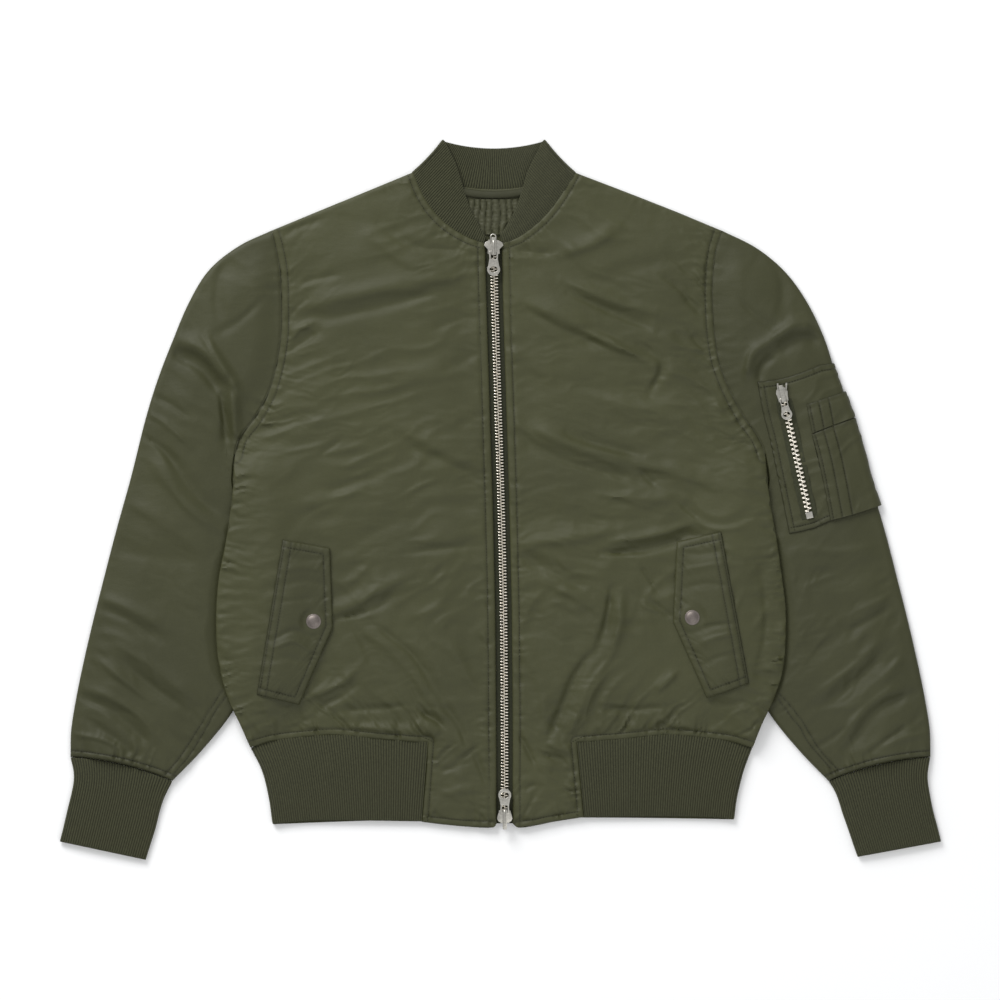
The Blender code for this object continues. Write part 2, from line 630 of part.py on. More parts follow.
def folded_ring(front_line, back_line, front_mid, back_mid, outward, thick):
    """A flat loop that is open at the front: its outer and inner faces along one line.

    front_line runs from its free end to the fold, and back_line from that fold to the other side.
    outward is the fold's direction in plan. It returns the part up to the end of the fold.
    """
    half = thick / 2.0
    radius = (front_mid - back_mid) / 2.0
    middle = (front_mid + back_mid) / 2.0
    outer = [(x, y, front_mid + half) for x, y in front_line]
    inner = [(x, y, front_mid - half) for x, y in front_line]
    fold_x, fold_y = front_line[-1]
    for angle in reversed(FOLD_ANGLES):
        reach, rise = math.cos(math.radians(angle)), math.sin(math.radians(angle))
        for points, size in ((outer, radius + half), (inner, radius - half)):
            points.append((fold_x + outward[0] * size * reach, fold_y + outward[1] * size * reach,
                           middle + size * rise))
    outer += [(x, y, back_mid - half) for x, y in back_line]
    inner += [(x, y, back_mid + half) for x, y in back_line]
    return outer, inner


def loop_rows(rights, backs, lefts, mids, outwards, thick):
    """The faces of a strip that runs round the back from one free end at the front to the other."""
    outer_rows, inner_rows = [], []
    for right, middle, left, (front_mid, back_mid), (out_right, out_left) in zip(
            rights, backs, lefts, mids, outwards):
        half_way = len(middle) // 2
        outer, inner = folded_ring(right, middle[:half_way], front_mid, back_mid, out_right, thick)
        other, other_inner = folded_ring(left, middle[half_way:][::-1], front_mid, back_mid, out_left,
                                         thick)
        outer_rows.append(outer + other[::-1])
        inner_rows.append(inner + other_inner[::-1])
    return np.array(outer_rows), np.array(inner_rows)


def hem_rib(look):
    back_mid = RIB / 2.0
    front_mid = SHELL + LAYER + RIB / 2.0
    fold_reach = (front_mid - back_mid) / 2.0 + RIB / 2.0
    front_seams = {side: front_plan(side)[SQUARE_ROWS, SQUARE_CELLS:-2] for side in (RIGHT, LEFT)}
    back_seam = back_plan()[0, 2:-2]
    rights, backs, lefts, mids, outwards = [], [], [], [], []
    for row in HEM_ROWS:
        down = row.drop / HEM_ROWS[-1].drop
        strips = {}
        for side, edge in ((RIGHT, row.right_side), (LEFT, row.left_side)):
            seam = front_seams[side]
            whole = seam[0, 0] - getattr(HEM_ROWS[0], SIDE_NAMES[side] + "_side")
            fold_x = edge - side * fold_reach
            square_y = seam[0, 1] + down * (HEM_BOTTOM[side] - seam[0, 1])
            start = between(HEM_SQUARE, "outer_y", square_y, SIDE_NAMES[side] + "_x") + side * RIB_TUCK
            line = []
            for x, y in seam:
                part = (seam[0, 0] - x) / whole
                line.append((start + part * (edge - start), y - 2.0 * SEAM
                             + down * (HEM_BOTTOM[side] - y)))
            corner_y = body_corner_y(down, side)
            line.append((fold_x, corner_y))
            strips[side] = line
        whole = HEM_ROWS[0].left_side - HEM_ROWS[0].right_side
        back_line = []
        for x, y in back_seam:
            part = (x - HEM_ROWS[0].right_side) / whole
            bottom = HEM_BOTTOM[RIGHT] + part * (HEM_BOTTOM[LEFT] - HEM_BOTTOM[RIGHT])
            back_line.append((row.right_side + part * (row.left_side - row.right_side),
                              y - 2.0 * SEAM + down * (bottom - y)))
        rights.append(strips[RIGHT])
        lefts.append(strips[LEFT])
        backs.append([(strips[RIGHT][-1][0], strips[RIGHT][-1][1])] + back_line
                     + [(strips[LEFT][-1][0], strips[LEFT][-1][1])])
        mids.append((front_mid, back_mid))
        outwards.append(((-1.0, 0.0), (1.0, 0.0)))
    return band("hem_rib", *loop_rows(rights, backs, lefts, mids, outwards, RIB), look)


def body_corner_y(down, side):
    """The height up the jacket of the hem rib's side fold, from its seam to its lower edge."""
    top = BODY_EDGE[0].y - 2.0 * SEAM
    return top + down * (HEM_BOTTOM[side] - top)


COLLAR_CELLS = 2
COLLAR_CORNER = 2.6  # the fold starts this far above the shoulder's corner


def collar(look):
    back_mid = RIB / 2.0
    front_mid = SHELL + LAYER + ZIP_RISE + RIB / 2.0
    fold_reach = (front_mid - back_mid) / 2.0 + RIB / 2.0
    back_seam = back_plan()[-1, 2:-2]
    right_fold = (COLLAR_TOP[-1].right_x, COLLAR_TOP[-1].right_y)
    left_fold = (COLLAR_TOP[-1].left_x, COLLAR_TOP[-1].left_y)
    rights, backs, lefts, mids, outwards = [], [], [], [], []
    for k in range(COLLAR_CELLS + 1):
        up = k / COLLAR_CELLS
        strips, directions = {}, {}
        for side in (RIGHT, LEFT):
            name = SIDE_NAMES[side]
            line = []
            for seam, top in zip(NECK_EDGE, COLLAR_TOP):
                start = np.array((getattr(seam, name + "_x"), seam.y))
                end = np.array((getattr(top, name + "_x"), getattr(top, name + "_y")))
                start = start + (end - start) / math.dist(start, end) * 2.0 * SEAM
                line.append(tuple(start + up * (end - start)))
            seam, top = NECK_EDGE[-1], COLLAR_TOP[-1]
            fold = np.array((getattr(top, name + "_x") - getattr(seam, name + "_x"),
                             getattr(top, name + "_y") - seam.y))
            fold = fold / np.linalg.norm(fold)
            out = side * np.array((fold[1], -fold[0]))
            clear = fold * COLLAR_CORNER * (1.0 - up)
            line[-1] = tuple(np.array(line[-1]) - out * fold_reach + clear)
            strips[side], directions[side] = line, tuple(out)
        back_line = []
        for x, y in back_seam:
            part = (x - NECK_EDGE[-1].right_x) / (NECK_EDGE[-1].left_x - NECK_EDGE[-1].right_x)
            across = 2.0 * part - 1.0
            top_x = right_fold[0] + part * (left_fold[0] - right_fold[0])
            top_y = right_fold[1] - COLLAR_BACK_DIP * (1.0 - across * across)
            seam_y = y + 2.0 * SEAM
            back_line.append((x + up * (top_x - x), seam_y + up * (top_y - seam_y)))
        rights.append(strips[RIGHT])
        lefts.append(strips[LEFT])
        backs.append([strips[RIGHT][-1]] + back_line + [strips[LEFT][-1]])
        mids.append((front_mid, back_mid))
        outwards.append((directions[RIGHT], directions[LEFT]))
    return band("collar_rib", *loop_rows(rights, backs, lefts, mids, outwards, RIB), look)


def neck_lining(look):
    """The quilted lining of the back, where the open neck shows it."""
    ys = (277.0, 298.0, 312.0)
    plan = np.array([[(x, y) for x in np.linspace(-58.0, 44.0, 6)] for y in ys])
    under = np.full(plan.shape[:2], SHELL + 0.3)
    return slab("neck_lining", plan, under, under + TAPE, look)


def neck_tape(look):
    """The tape over the seam of the lining and the collar."""
    seam = back_plan()[-1, 3:-3]
    plan = np.array([seam - (0.0, 9.5), seam - (0.0, 5.0), seam - (0.0, 0.8)])
    under = np.full(plan.shape[:2], SHELL + 0.3)
    return slab("neck_tape", plan, under, under + 1.1, look)


# ---------------------------------------------------------------- the front zip
ZIP_ROWS = (-336.0, -260.0, -208.0, -156.0, -104.0, -52.0, 0.0, 52.0, 104.0, 156.0, 208.0, 266.0)


def zip_strip(name, low_y, high_y, near, far, under, thick, look):
    ys = [low_y] + [y for y in ZIP_ROWS if low_y < y < high_y] + [high_y]
    plan = np.array([[(zip_x(y) + near, y), (zip_x(y) + far, y)] for y in ys])
    low = np.full(plan.shape[:2], under)
    return slab(name, plan, low, low + thick, look)


def ellipse(x, y, half_width, half_height, steps=ROUND_STEPS):
    return [(x + half_width * math.cos(math.tau * k / steps),
             y + half_height * math.sin(math.tau * k / steps)) for k in range(steps)]


def pull(name, shape, at, turn, look):
    """A zip pull: a bar to hinge on, a slot for the bridge, a plate and a ring at its end."""
    ring_y = shape.ring_at
    start = math.radians(32.0)
    arc = [(shape.ring_radius * math.cos(a), ring_y + shape.ring_radius * math.sin(a))
           for a in np.linspace(start, -math.pi - start, 20)]
    outline = [(-shape.neck_half, BAR_HALF), (shape.neck_half, BAR_HALF),
               (shape.neck_half - 0.4, SLOT_END)] + arc + [(-shape.neck_half + 0.4, SLOT_END)]
    slot = [(-SLOT_HALF, -BAR_HALF), (SLOT_HALF, -BAR_HALF), (SLOT_HALF, SLOT_END),
            (-SLOT_HALF, SLOT_END)]
    ring = ellipse(0.0, ring_y, 0.62 * shape.ring_radius, 0.45 * shape.ring_radius, 16)
    made = prism(name, [outline, slot, ring], -PULL_THICK / 2.0, PULL_THICK / 2.0, look)
    made.location = [value * MM for value in at]
    made.rotation_euler = (0.0, 0.0, math.radians(turn))
    return made


SliderSize = namedtuple("SliderSize", "wing shoulder foot top bottom core_half core_low "
                                      "bridge_top bridge_low")
TOP_SLIDER = SliderSize(10.1, 6.0, 5.6, 12.0, -2.6, 6.2, 3.6, 15.0, -3.8)
BOTTOM_SLIDER = SliderSize(8.0, 7.2, 5.4, 10.6, -2.6, 6.2, 3.6, 17.0, -3.8)
ARM_SLIDER = SliderSize(6.2, 5.4, 5.0, 12.5, -2.6, 4.6, 0.0, 14.5, -3.8)


def slider(name, size, at, turn, look):
    """A zip slider: a core over the teeth, a winged plate and a bridge that holds the pull.

    Its own y runs away from the pull's free end, and 0 is the hinge's line, at the pull's mid height.
    """
    plate_top = -PULL_THICK / 2.0 - PULL_CLEAR
    plate_low = plate_top - PLATE_THICK
    wing_y = 0.55 * size.top
    outline = [(-size.foot, size.bottom), (size.foot, size.bottom), (size.shoulder, 0.2 * size.top),
               (size.wing, wing_y), (size.wing - 1.2, 0.8 * size.top), (0.45 * size.wing, size.top),
               (-0.45 * size.wing, size.top), (-size.wing + 1.2, 0.8 * size.top), (-size.wing, wing_y),
               (-size.shoulder, 0.2 * size.top)]
    made = prism(name, [outline], plate_low, plate_top, look)
    adds = []
    if size.core_low:
        core = [(-size.core_half, size.bottom + 0.4), (size.core_half, size.bottom + 0.4),
                (size.core_half, 0.75 * size.top), (-size.core_half, 0.75 * size.top)]
        adds.append(prism(name + "_core", [core], plate_low - size.core_low, plate_low + 0.5, look))
    low, high = PULL_THICK / 2.0 + PULL_CLEAR, PULL_THICK / 2.0 + PULL_CLEAR + BRIDGE_THICK
    legs = plate_top - 0.4
    side_view = [(size.bridge_low, legs), (size.bridge_low, high - 0.6), (size.bridge_low + 0.6, high),
                 (size.bridge_top - 0.6, high), (size.bridge_top, high - 0.6), (size.bridge_top, legs),
                 (size.bridge_top - 2.0, legs), (size.bridge_top - 2.0, low),
                 (size.bridge_low + 1.5, low), (size.bridge_low + 1.5, legs)]
    bridge = prism(name + "_bridge", [side_view], -BRIDGE_HALF, BRIDGE_HALF, look)
    for vert in bridge.data.vertices:
        across, along, up = vert.co.z, vert.co.x, vert.co.y
        vert.co = (across, along, up)
    adds.append(bridge)
    for guide in adds:
        guide.hide_render = True
        guide.display_type = "WIRE"
        guide.parent = made
        union = made.modifiers.new("join_" + guide.name, "BOOLEAN")
        union.operation = "UNION"
        union.object = guide
    made.location = [value * MM for value in at]
    made.rotation_euler = (0.0, 0.0, math.radians(turn))
    return made


def snap(name, centre, under, look):
    """The domed cap of a press stud."""
    rings = [(1.0, 0.0), (1.0, 0.35), (0.9, 0.75), (0.55, 0.97), (0.12, 1.0)]
    points, faces = [], []
    for size, rise in rings:
        points += [(x, y, under + rise * SNAP_HEIGHT)
                   for x, y in ellipse(centre.x, centre.y, size * SNAP_RADIUS, size * SNAP_RADIUS)]
    for i in range(len(rings) - 1):
        for k in range(ROUND_STEPS):
            n = (k + 1) % ROUND_STEPS
            faces.append([i * ROUND_STEPS + k, i * ROUND_STEPS + n, (i + 1) * ROUND_STEPS + n,
                          (i + 1) * ROUND_STEPS + k])
    faces.append(list(range(ROUND_STEPS))[::-1])
    faces.append([(len(rings) - 1) * ROUND_STEPS + k for k in range(ROUND_STEPS)])
    return add_object(name, points, faces, look)


def strip_outline(start, end, half):
    """The four corners of a straight strip."""
    length = math.dist(start, end)
    across = ((end.y - start.y) / length * half, -(end.x - start.x) / length * half)
    return [Corner(start.x + across[0], start.y + across[1]), Corner(end.x + across[0], end.y + across[1]),
            Corner(end.x - across[0], end.y - across[1]), Corner(start.x - across[0], start.y - across[1])]


def on_line(start, end, travel):
    length = math.dist(start, end)
    return Corner(start.x + (end.x - start.x) * travel / length,
                  start.y + (end.y - start.y) * travel / length)


def main():
    for old in list(bpy.data.objects):
        bpy.data.objects.remove(old)
    shell = material("shell_nylon", (0.080, 0.082, 0.047), 0.45)
    rib = material("rib_knit", (0.054, 0.056, 0.033), 0.9)
    lining = material("lining_nylon", (0.070, 0.072, 0.043), 0.5)
    tape = material("zip_tape", (0.036, 0.037, 0.022), 0.85)
    metal = material("zip_metal", (0.62, 0.60, 0.57), 0.3, 1.0)
    stud = material("snap_metal", (0.20, 0.17, 0.15), 0.4, 1.0)

    back(shell)
    fronts = {side: front(side, shell) for side in (RIGHT, LEFT)}
    sleeves = {side: sleeve(side, shell) for side in (RIGHT, LEFT)}
    for side in (RIGHT, LEFT):
        cuff(side, rib)
    hem_rib(rib)
    collar(rib)
    neck_lining(lining)
    neck_tape(lining)

    tape_z = SHELL + GAP
    zip_strip("zip_tape_right", ZIP_ROWS[0], ZIP_ROWS[-1], -TAPE_REACH, -0.2, tape_z, TAPE, tape)
    zip_strip("zip_tape_left", ZIP_ROWS[0], ZIP_ROWS[-1], 0.2, TAPE_REACH, tape_z, TAPE, tape)
    chain_z = tape_z + TAPE + GAP
    chain_low = BOTTOM_HINGE_Y - BOTTOM_SLIDER.bottom + 0.5
    chain_high = TOP_HINGE_Y + TOP_SLIDER.bottom - 0.5
    half_chain = CHAIN_WIDTH / 2.0
    zip_strip("zip_chain", chain_low, chain_high, -half_chain, half_chain, chain_z, CHAIN_THICK, metal)

    front_z = SHELL + LAYER + ZIP_RISE + SHELL
    hinge_z = front_z + 0.4 + PLATE_THICK + PULL_CLEAR + PULL_THICK / 2.0
    top_at = (zip_x(TOP_HINGE_Y), TOP_HINGE_Y, hinge_z)
    slider("zip_top_slider", TOP_SLIDER, top_at, 0.0, metal)
    pull("zip_top_pull", ZIP_PULL, top_at, 0.0, metal)
    bottom_at = (zip_x(BOTTOM_HINGE_Y), BOTTOM_HINGE_Y, hinge_z)
    slider("zip_bottom_slider", BOTTOM_SLIDER, bottom_at, 180.0, metal)
    pull("zip_bottom_pull", ZIP_PULL, bottom_at, 180.0, metal)

    for side, outline in ((RIGHT, FLAP_RIGHT), (LEFT, FLAP_LEFT)):
        name = SIDE_NAMES[side]
        flap = patch("pocket_flap_" + name, fronts[side], outline, GAP, 2.0 * THIN, shell)
        spot = SNAP_AT[side]
        under = top_within(flap, spot.x, spot.y, SNAP_RADIUS + 8.0) + GAP
        snap("snap_" + name, spot, under, stud)

    pocket = patch("arm_pocket", sleeves[LEFT], ARM_POCKET, GAP, THIN, shell, SLEEVE_THICK / 2.0)
    patch("pen_pocket_upper", pocket, PEN_UPPER, GAP, THIN, shell)
    patch("pen_pocket_lower", pocket, PEN_LOWER, GAP, THIN, shell)
    tape_outline = strip_outline(ARM_ZIP_TOP, ARM_ZIP_END, ARM_TAPE_HALF)
    arm_tape = patch("arm_zip_tape", pocket, tape_outline, GAP, ARM_TAPE_THICK, tape)
    tilt = math.degrees(math.atan2(ARM_ZIP_END.x - ARM_ZIP_TOP.x, ARM_ZIP_TOP.y - ARM_ZIP_END.y))
    hinge = ARM_SLIDER_AT
    chain_start = on_line(hinge, ARM_ZIP_END, -ARM_SLIDER.bottom + 0.5)
    whole = math.dist(hinge, ARM_ZIP_END)
    chain_end = on_line(hinge, ARM_ZIP_END, whole - ARM_STOP_LENGTH - 0.4)
    half_chain = ARM_ZIP_WIDTH / 2.0
    chain_outline = strip_outline(chain_start, chain_end, half_chain)
    patch("arm_zip_chain", arm_tape, chain_outline, GAP, ARM_CHAIN_THICK, metal)
    stop_start = on_line(hinge, ARM_ZIP_END, whole - ARM_STOP_LENGTH)
    stop_outline = strip_outline(stop_start, ARM_ZIP_END, half_chain)
    patch("arm_zip_stop", arm_tape, stop_outline, GAP, ARM_STOP_THICK, metal)
    pocket_top = top_within(pocket, hinge.x, hinge.y, ARM_PULL_REACH)
    arm_top = pocket_top + ARM_TAPE_THICK + ARM_CHAIN_THICK + 3.0 * GAP
    arm_z = arm_top + PULL_THICK / 2.0 + GAP
    slider("arm_zip_slider", ARM_SLIDER, (*hinge, arm_z), tilt, metal)
    pull("arm_zip_pull", ARM_PULL, (*hinge, arm_z), tilt, metal)


main()
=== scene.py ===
"""The looks of a nylon bomber jacket that lies flat on its back.

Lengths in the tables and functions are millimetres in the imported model's frame, and meshes are made in
metres: +X is the wearer's left, +Y the collar, +Z up from the surface. The right pieces are at -X.
"""
import math
from collections import namedtuple

import bmesh
import bpy
import numpy as np
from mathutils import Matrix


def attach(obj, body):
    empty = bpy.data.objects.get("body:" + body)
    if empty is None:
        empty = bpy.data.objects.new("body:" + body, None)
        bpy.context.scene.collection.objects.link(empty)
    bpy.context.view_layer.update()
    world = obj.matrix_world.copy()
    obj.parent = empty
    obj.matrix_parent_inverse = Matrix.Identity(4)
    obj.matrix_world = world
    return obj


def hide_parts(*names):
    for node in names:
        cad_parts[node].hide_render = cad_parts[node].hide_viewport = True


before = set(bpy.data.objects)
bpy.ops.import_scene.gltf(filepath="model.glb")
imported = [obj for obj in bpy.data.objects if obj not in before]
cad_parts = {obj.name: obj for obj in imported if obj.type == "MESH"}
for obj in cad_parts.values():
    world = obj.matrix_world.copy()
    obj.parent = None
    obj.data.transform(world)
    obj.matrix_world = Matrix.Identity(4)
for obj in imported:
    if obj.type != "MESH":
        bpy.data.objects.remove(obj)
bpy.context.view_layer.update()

MM = 0.001
RIGHT = -1
LEFT = 1
SIDES = {RIGHT: "right", LEFT: "left"}

# ---------------------------------------------------------------- the cloth's sizes, as in the model
SHELL = 3.0  # nylon, wadding and lining together
RIB = 2.5
LAYER = 0.4  # between two panels that lie on each other
GAP = 0.3  # under a small piece that lies on a panel
SLEEVE_THICK = 7.0
CUFF_THICK = 6.4
LIFT = 8.4  # how far a side edge is raised where it lies over a sleeve
LIFT_FLAT = 20.0  # how far that raised strip runs inside the sleeve's edge
LIFT_FALL = 58.0  # and how far it takes to come down
ARMPIT_Y = 46.0
ARMPIT_RISE, ARMPIT_START = 42.0, 16.0  # a side edge climbs over this length, from this far past the armpit
ZIP_RISE = 1.5  # the fronts ride over the zip's tapes and the neck lining by this
FRONT_EDGE = 8.5  # from the zip's middle to each front's edge
HINGE_Z = 12.05
TOP_HINGE_Y = 258.0
BOTTOM_HINGE_Y = -325.0

# what the cloth adds to the plain walls
FRONT_PUFF = 4.2  # loft of the wadding in the middle of a front
SLEEVE_PUFF = 5.0
FOLD_DEPTH = {RIGHT: 1.2, LEFT: 1.75}  # how deep the table's folds stand in the two thick fronts
SLEEVE_FOLD_DEPTH = 1.3
FLAP_FOLD_DEPTH = 1.15
CRUMPLE_DEPTH = 1.35
SIDE_ROUND, SIDE_RADIUS = 2.0, 36.0  # how a front falls off towards its side fold
GRID = 1.95  # the size of a mesh cell on the fronts and the sleeves

# stitching: its pitch, and how far each row lies from its seam or its piece's edge
STITCH_PITCH = 3.0
STITCH_LENGTH = 2.1
STITCH_HALF, STITCH_RISE = 0.34, 0.3
CUFF_STITCH = 6.5
FLAP_STITCH, FLAP_SEWN, FLAP_SECOND = 7.3, 2.6, 9.6
POCKET_STITCH = 6.0
PEN_STITCHES, PEN_END_STITCH = (3.0, 12.5, 23.0), 4.5

ZIP_LINE = [(-345, 4.5), (-208, 4.0), (-104, 3.0), (0, 0.5), (104, -2.8), (208, -6.0), (275, -7.5)]

EdgeRow = namedtuple("EdgeRow", "y right_x left_x")
BODY_EDGE = [EdgeRow(-257, -260, 262), EdgeRow(-234, -270, 271), EdgeRow(-206, -283, 284),
             EdgeRow(-177, -291, 293), EdgeRow(-146, -295, 296), EdgeRow(-112, -295, 296),
             EdgeRow(-78, -292, 292), EdgeRow(-42, -285, 287), EdgeRow(-8, -280, 281),
             EdgeRow(22, -277, 277), EdgeRow(46, -276, 275), EdgeRow(66, -270, 267),
             EdgeRow(86, -255, 253), EdgeRow(112, -241, 239), EdgeRow(140, -233, 228),
             EdgeRow(168, -228.5, 223), EdgeRow(192, -227.5, 221), EdgeRow(215, -228, 220),
             EdgeRow(238, -229, 221), EdgeRow(260, -233, 224), EdgeRow(280, -238, 230)]
ARMPIT_ROW = 10
# where each of those rows meets the zip, or the neck's seam
INNER_Y = [-257, -234, -206, -177, -146, -112, -78, -42, -8, 22, 46, 90, 134, 178, 222, 268]
NECK_BASE_ROW = 15
NECK_EDGE = [EdgeRow(268, -17, 1.5), EdgeRow(272.5, -31, 16), EdgeRow(283, -50, 32),
             EdgeRow(298, -67, 48), EdgeRow(317, -80, 62), EdgeRow(341, -90, 76)]
HEM_SEAM = [(-300, -262), (-261, -257), (-239, -251), (-208, -247), (-172, -244.5), (-130, -248.5),
            (-104, -250.5), (-80, -252), (0, -250), (80, -252), (104, -250.5), (130, -248.5),
            (172, -244.5), (208, -247), (239, -251), (261, -257), (300, -262)]
SQUARE_BOTTOM = {RIGHT: [(-4.0, -336), (-9, -340.5), (-36, -339.5), (-62, -337), (-82, -334.5)],
                 LEFT: [(12.5, -336), (19, -340.5), (36, -338.5), (52, -335), (87, -329.5)]}
SQUARE_LINE = {RIGHT: [(-82, -334), (-79, -294), (-76, -252)], LEFT: [(87, -329.5), (84, -294), (80, -252)]}

SleeveRow = namedtuple("SleeveRow", "right_ox right_oy left_ox left_oy right_ix left_ix inner_y armhole")
SLEEVE_ROWS = [SleeveRow(-238, 280, 230, 280, -276.4, 275.4, 46, 1.0),
               SleeveRow(-272, 264, 266, 262, -277.6, 276.8, 37, 0.75),
               SleeveRow(-303, 239, 296, 237, -278.2, 278.0, 28, 0.5),
               SleeveRow(-324, 205, 319, 205, -278.6, 278.6, 19, 0.3),
               SleeveRow(-341, 165, 337, 167, -276, 276, 7, 0.16),
               SleeveRow(-356, 126, 350, 126, -271, 271, -10, 0.07),
               SleeveRow(-369, 84, 366, 84, -266, 266, -32, 0.0),
               SleeveRow(-384, 24, 383, 24, -261, 261, -70, 0.0),
               SleeveRow(-399, -30, 399, -30, -258, 258, -112, 0.0),
               SleeveRow(-413, -84, 413, -84, -258, 258, -152, 0.0),
               SleeveRow(-426, -136, 426, -136, -263, 263, -190, 0.0),
               SleeveRow(-438, -190, 438, -190, -281, 281, -224, 0.0),
               SleeveRow(-446, -236, 446, -236, -311, 311, -261, 0.0),
               SleeveRow(-447, -267, 447, -267, -341, 341, -292, 0.0)]
CUFF_SEAM_BOW = 5.0
CUFF_OUTER = {RIGHT: [(-447, -267), (-443.5, -288), (-448, -314), (-458, -355)],
              LEFT: [(447, -267), (444, -288), (448, -314), (458, -355)]}
CUFF_INNER = {RIGHT: [(-341, -292), (-350, -311), (-358.5, -340), (-369, -374)],
              LEFT: [(341, -292), (350, -308), (360, -339), (371, -371)]}
COLLAR_TOP = {RIGHT: [(-15.5, 274), (-23, 287), (-32, 305), (-39, 326), (-46, 348), (-59, 374)],
              LEFT: [(-0.5, 276), (6, 285), (15, 302), (22, 321), (29, 343), (45, 374)]}
HEM_BOTTOM = {RIGHT: [(-237, -337), (-225, -335), (-198, -333), (-156, -333), (-82, -334)],
              LEFT: [(243, -332), (232, -330), (208, -329), (166, -328.5), (87, -329.5)]}
HEM_SIDE = {RIGHT: [(-260, -257), (-248, -281), (-241, -309), (-237, -337)],
            LEFT: [(262, -257), (253, -281), (246, -309), (243, -332)]}

# ---------------------------------------------------------------- creases
# small crumpled ridges: their direction in degrees, how they fade in between two heights, and their sizes
Crumple = namedtuple("Crumple", "angle low high depth size long")
CRUMPLES = {RIGHT: [Crumple(13, 60, 300, 0.75, 15, 4.0), Crumple(22, -120, 90, 0.70, 14, 3.2),
                    Crumple(-48, -260, -90, 0.75, 15, 3.4), Crumple(35, -260, -60, 0.55, 10, 2.6),
                    Crumple(6, -340, 300, 0.28, 6.5, 3.0)],
            LEFT: [Crumple(-24, 60, 300, 0.75, 15, 4.0), Crumple(-14, -110, 100, 0.80, 14, 3.2),
                   Crumple(62, -260, -70, 0.75, 16, 3.4), Crumple(-30, -260, -60, 0.60, 10, 2.6),
                   Crumple(-8, -340, 300, 0.28, 6.5, 3.0)]}
SLEEVE_CRUMPLES = [Crumple(-34, -300, 280, 0.85, 15, 3.6), Crumple(-52, -300, 280, 0.45, 9, 3.0),
                   Crumple(-20, -300, 280, 0.25, 6.5, 2.6)]
# a crease runs through three places: a ridge has a positive height, a trough a negative one
Crease = namedtuple("Crease", "x0 y0 x1 y1 x2 y2 height width")
FRONT_RIGHT_CREASES = [
    Crease(-209, 198, -141, 216, -32, 234, 3.2, 11), Crease(-219, 191, -167, 191, -53, 219, -2.4, 8),
    Crease(-221, 154, -205, 164, -190, 175, -2.0, 5), Crease(-218, 168, -209, 177, -197, 183, 1.6, 4),
    Crease(-218, 191, -209, 202, -197, 211, -1.2, 4), Crease(-209, 223, -188, 230, -167, 234, -1.6, 6),
    Crease(-125, 289, -92, 264, -46, 260, -1.8, 7), Crease(-224, 276, -206, 285, -186, 290, -1.2, 5),
    Crease(-136, 275, -99, 248, -47, 239, 1.6, 9), Crease(-73, 177, -47, 185, -21, 192, -1.4, 8),
    Crease(-63, 133, -44, 141, -25, 151, -1.2, 7), Crease(-105, 62, -73, 45, -19, 22, -1.8, 7),
    Crease(-110, 75, -73, 58, -21, 37, 1.6, 9), Crease(-209, -9, -177, 0, -144, 11, 2.0, 8),
    Crease(-190, 4, -157, 16, -109, 36, -1.8, 7), Crease(-188, 46, -175, 55, -165, 63, -1.2, 5),
    Crease(-99, -55, -63, -51, -20, -47, -1.6, 6), Crease(-99, -43, -63, -41, -20, -34, 1.2, 7),
    Crease(-173, -116, -138, -100, -93, -78, 2.4, 6), Crease(-173, -124, -134, -114, -102, -90, -2.4, 5),
    Crease(-209, -209, -167, -191, -147, -174, 2.4, 6), Crease(-190, -217, -162, -201, -146, -187, -2.2, 5),
    Crease(-169, -219, -131, -217, -92, -213, -1.8, 5), Crease(-159, -235, -115, -238, -67, -240, 2.2, 6),
    Crease(-90, -229, -76, -236, -63, -246, 2.4, 6), Crease(-84, -220, -70, -228, -59, -237, -2.0, 5),
    Crease(-146, -133, -102, -168, -71, -210, 1.8, 8), Crease(-134, -127, -92, -161, -60, -208, -1.8, 7),
    Crease(-71, -210, -57, -233, -44, -258, 1.8, 6), Crease(-60, -208, -46, -231, -36, -254, -1.6, 5),
    Crease(-65, -282, -47, -278, -29, -271, -1.8, 4), Crease(-47, -274, -35, -265, -22, -254, -1.6, 4),
    Crease(-28, -261, -21, -279, -15, -297, -1.6, 4), Crease(-63, -307, -44, -302, -23, -300, 1.2, 5),
    Crease(-240, -68, -209, -21, -157, 10, -1.0, 9), Crease(-157, 104, -105, 125, -32, 133, 1.2, 13),
    Crease(-209, 83, -167, 104, -105, 109, -1.0, 12), Crease(-177, -62, -105, -21, -21, -10, -0.9, 12),
    Crease(-254, -104, -248, -146, -252, -198, -0.8, 7), Crease(-84, -104, -53, -146, -27, -208, 1.0, 12),
]
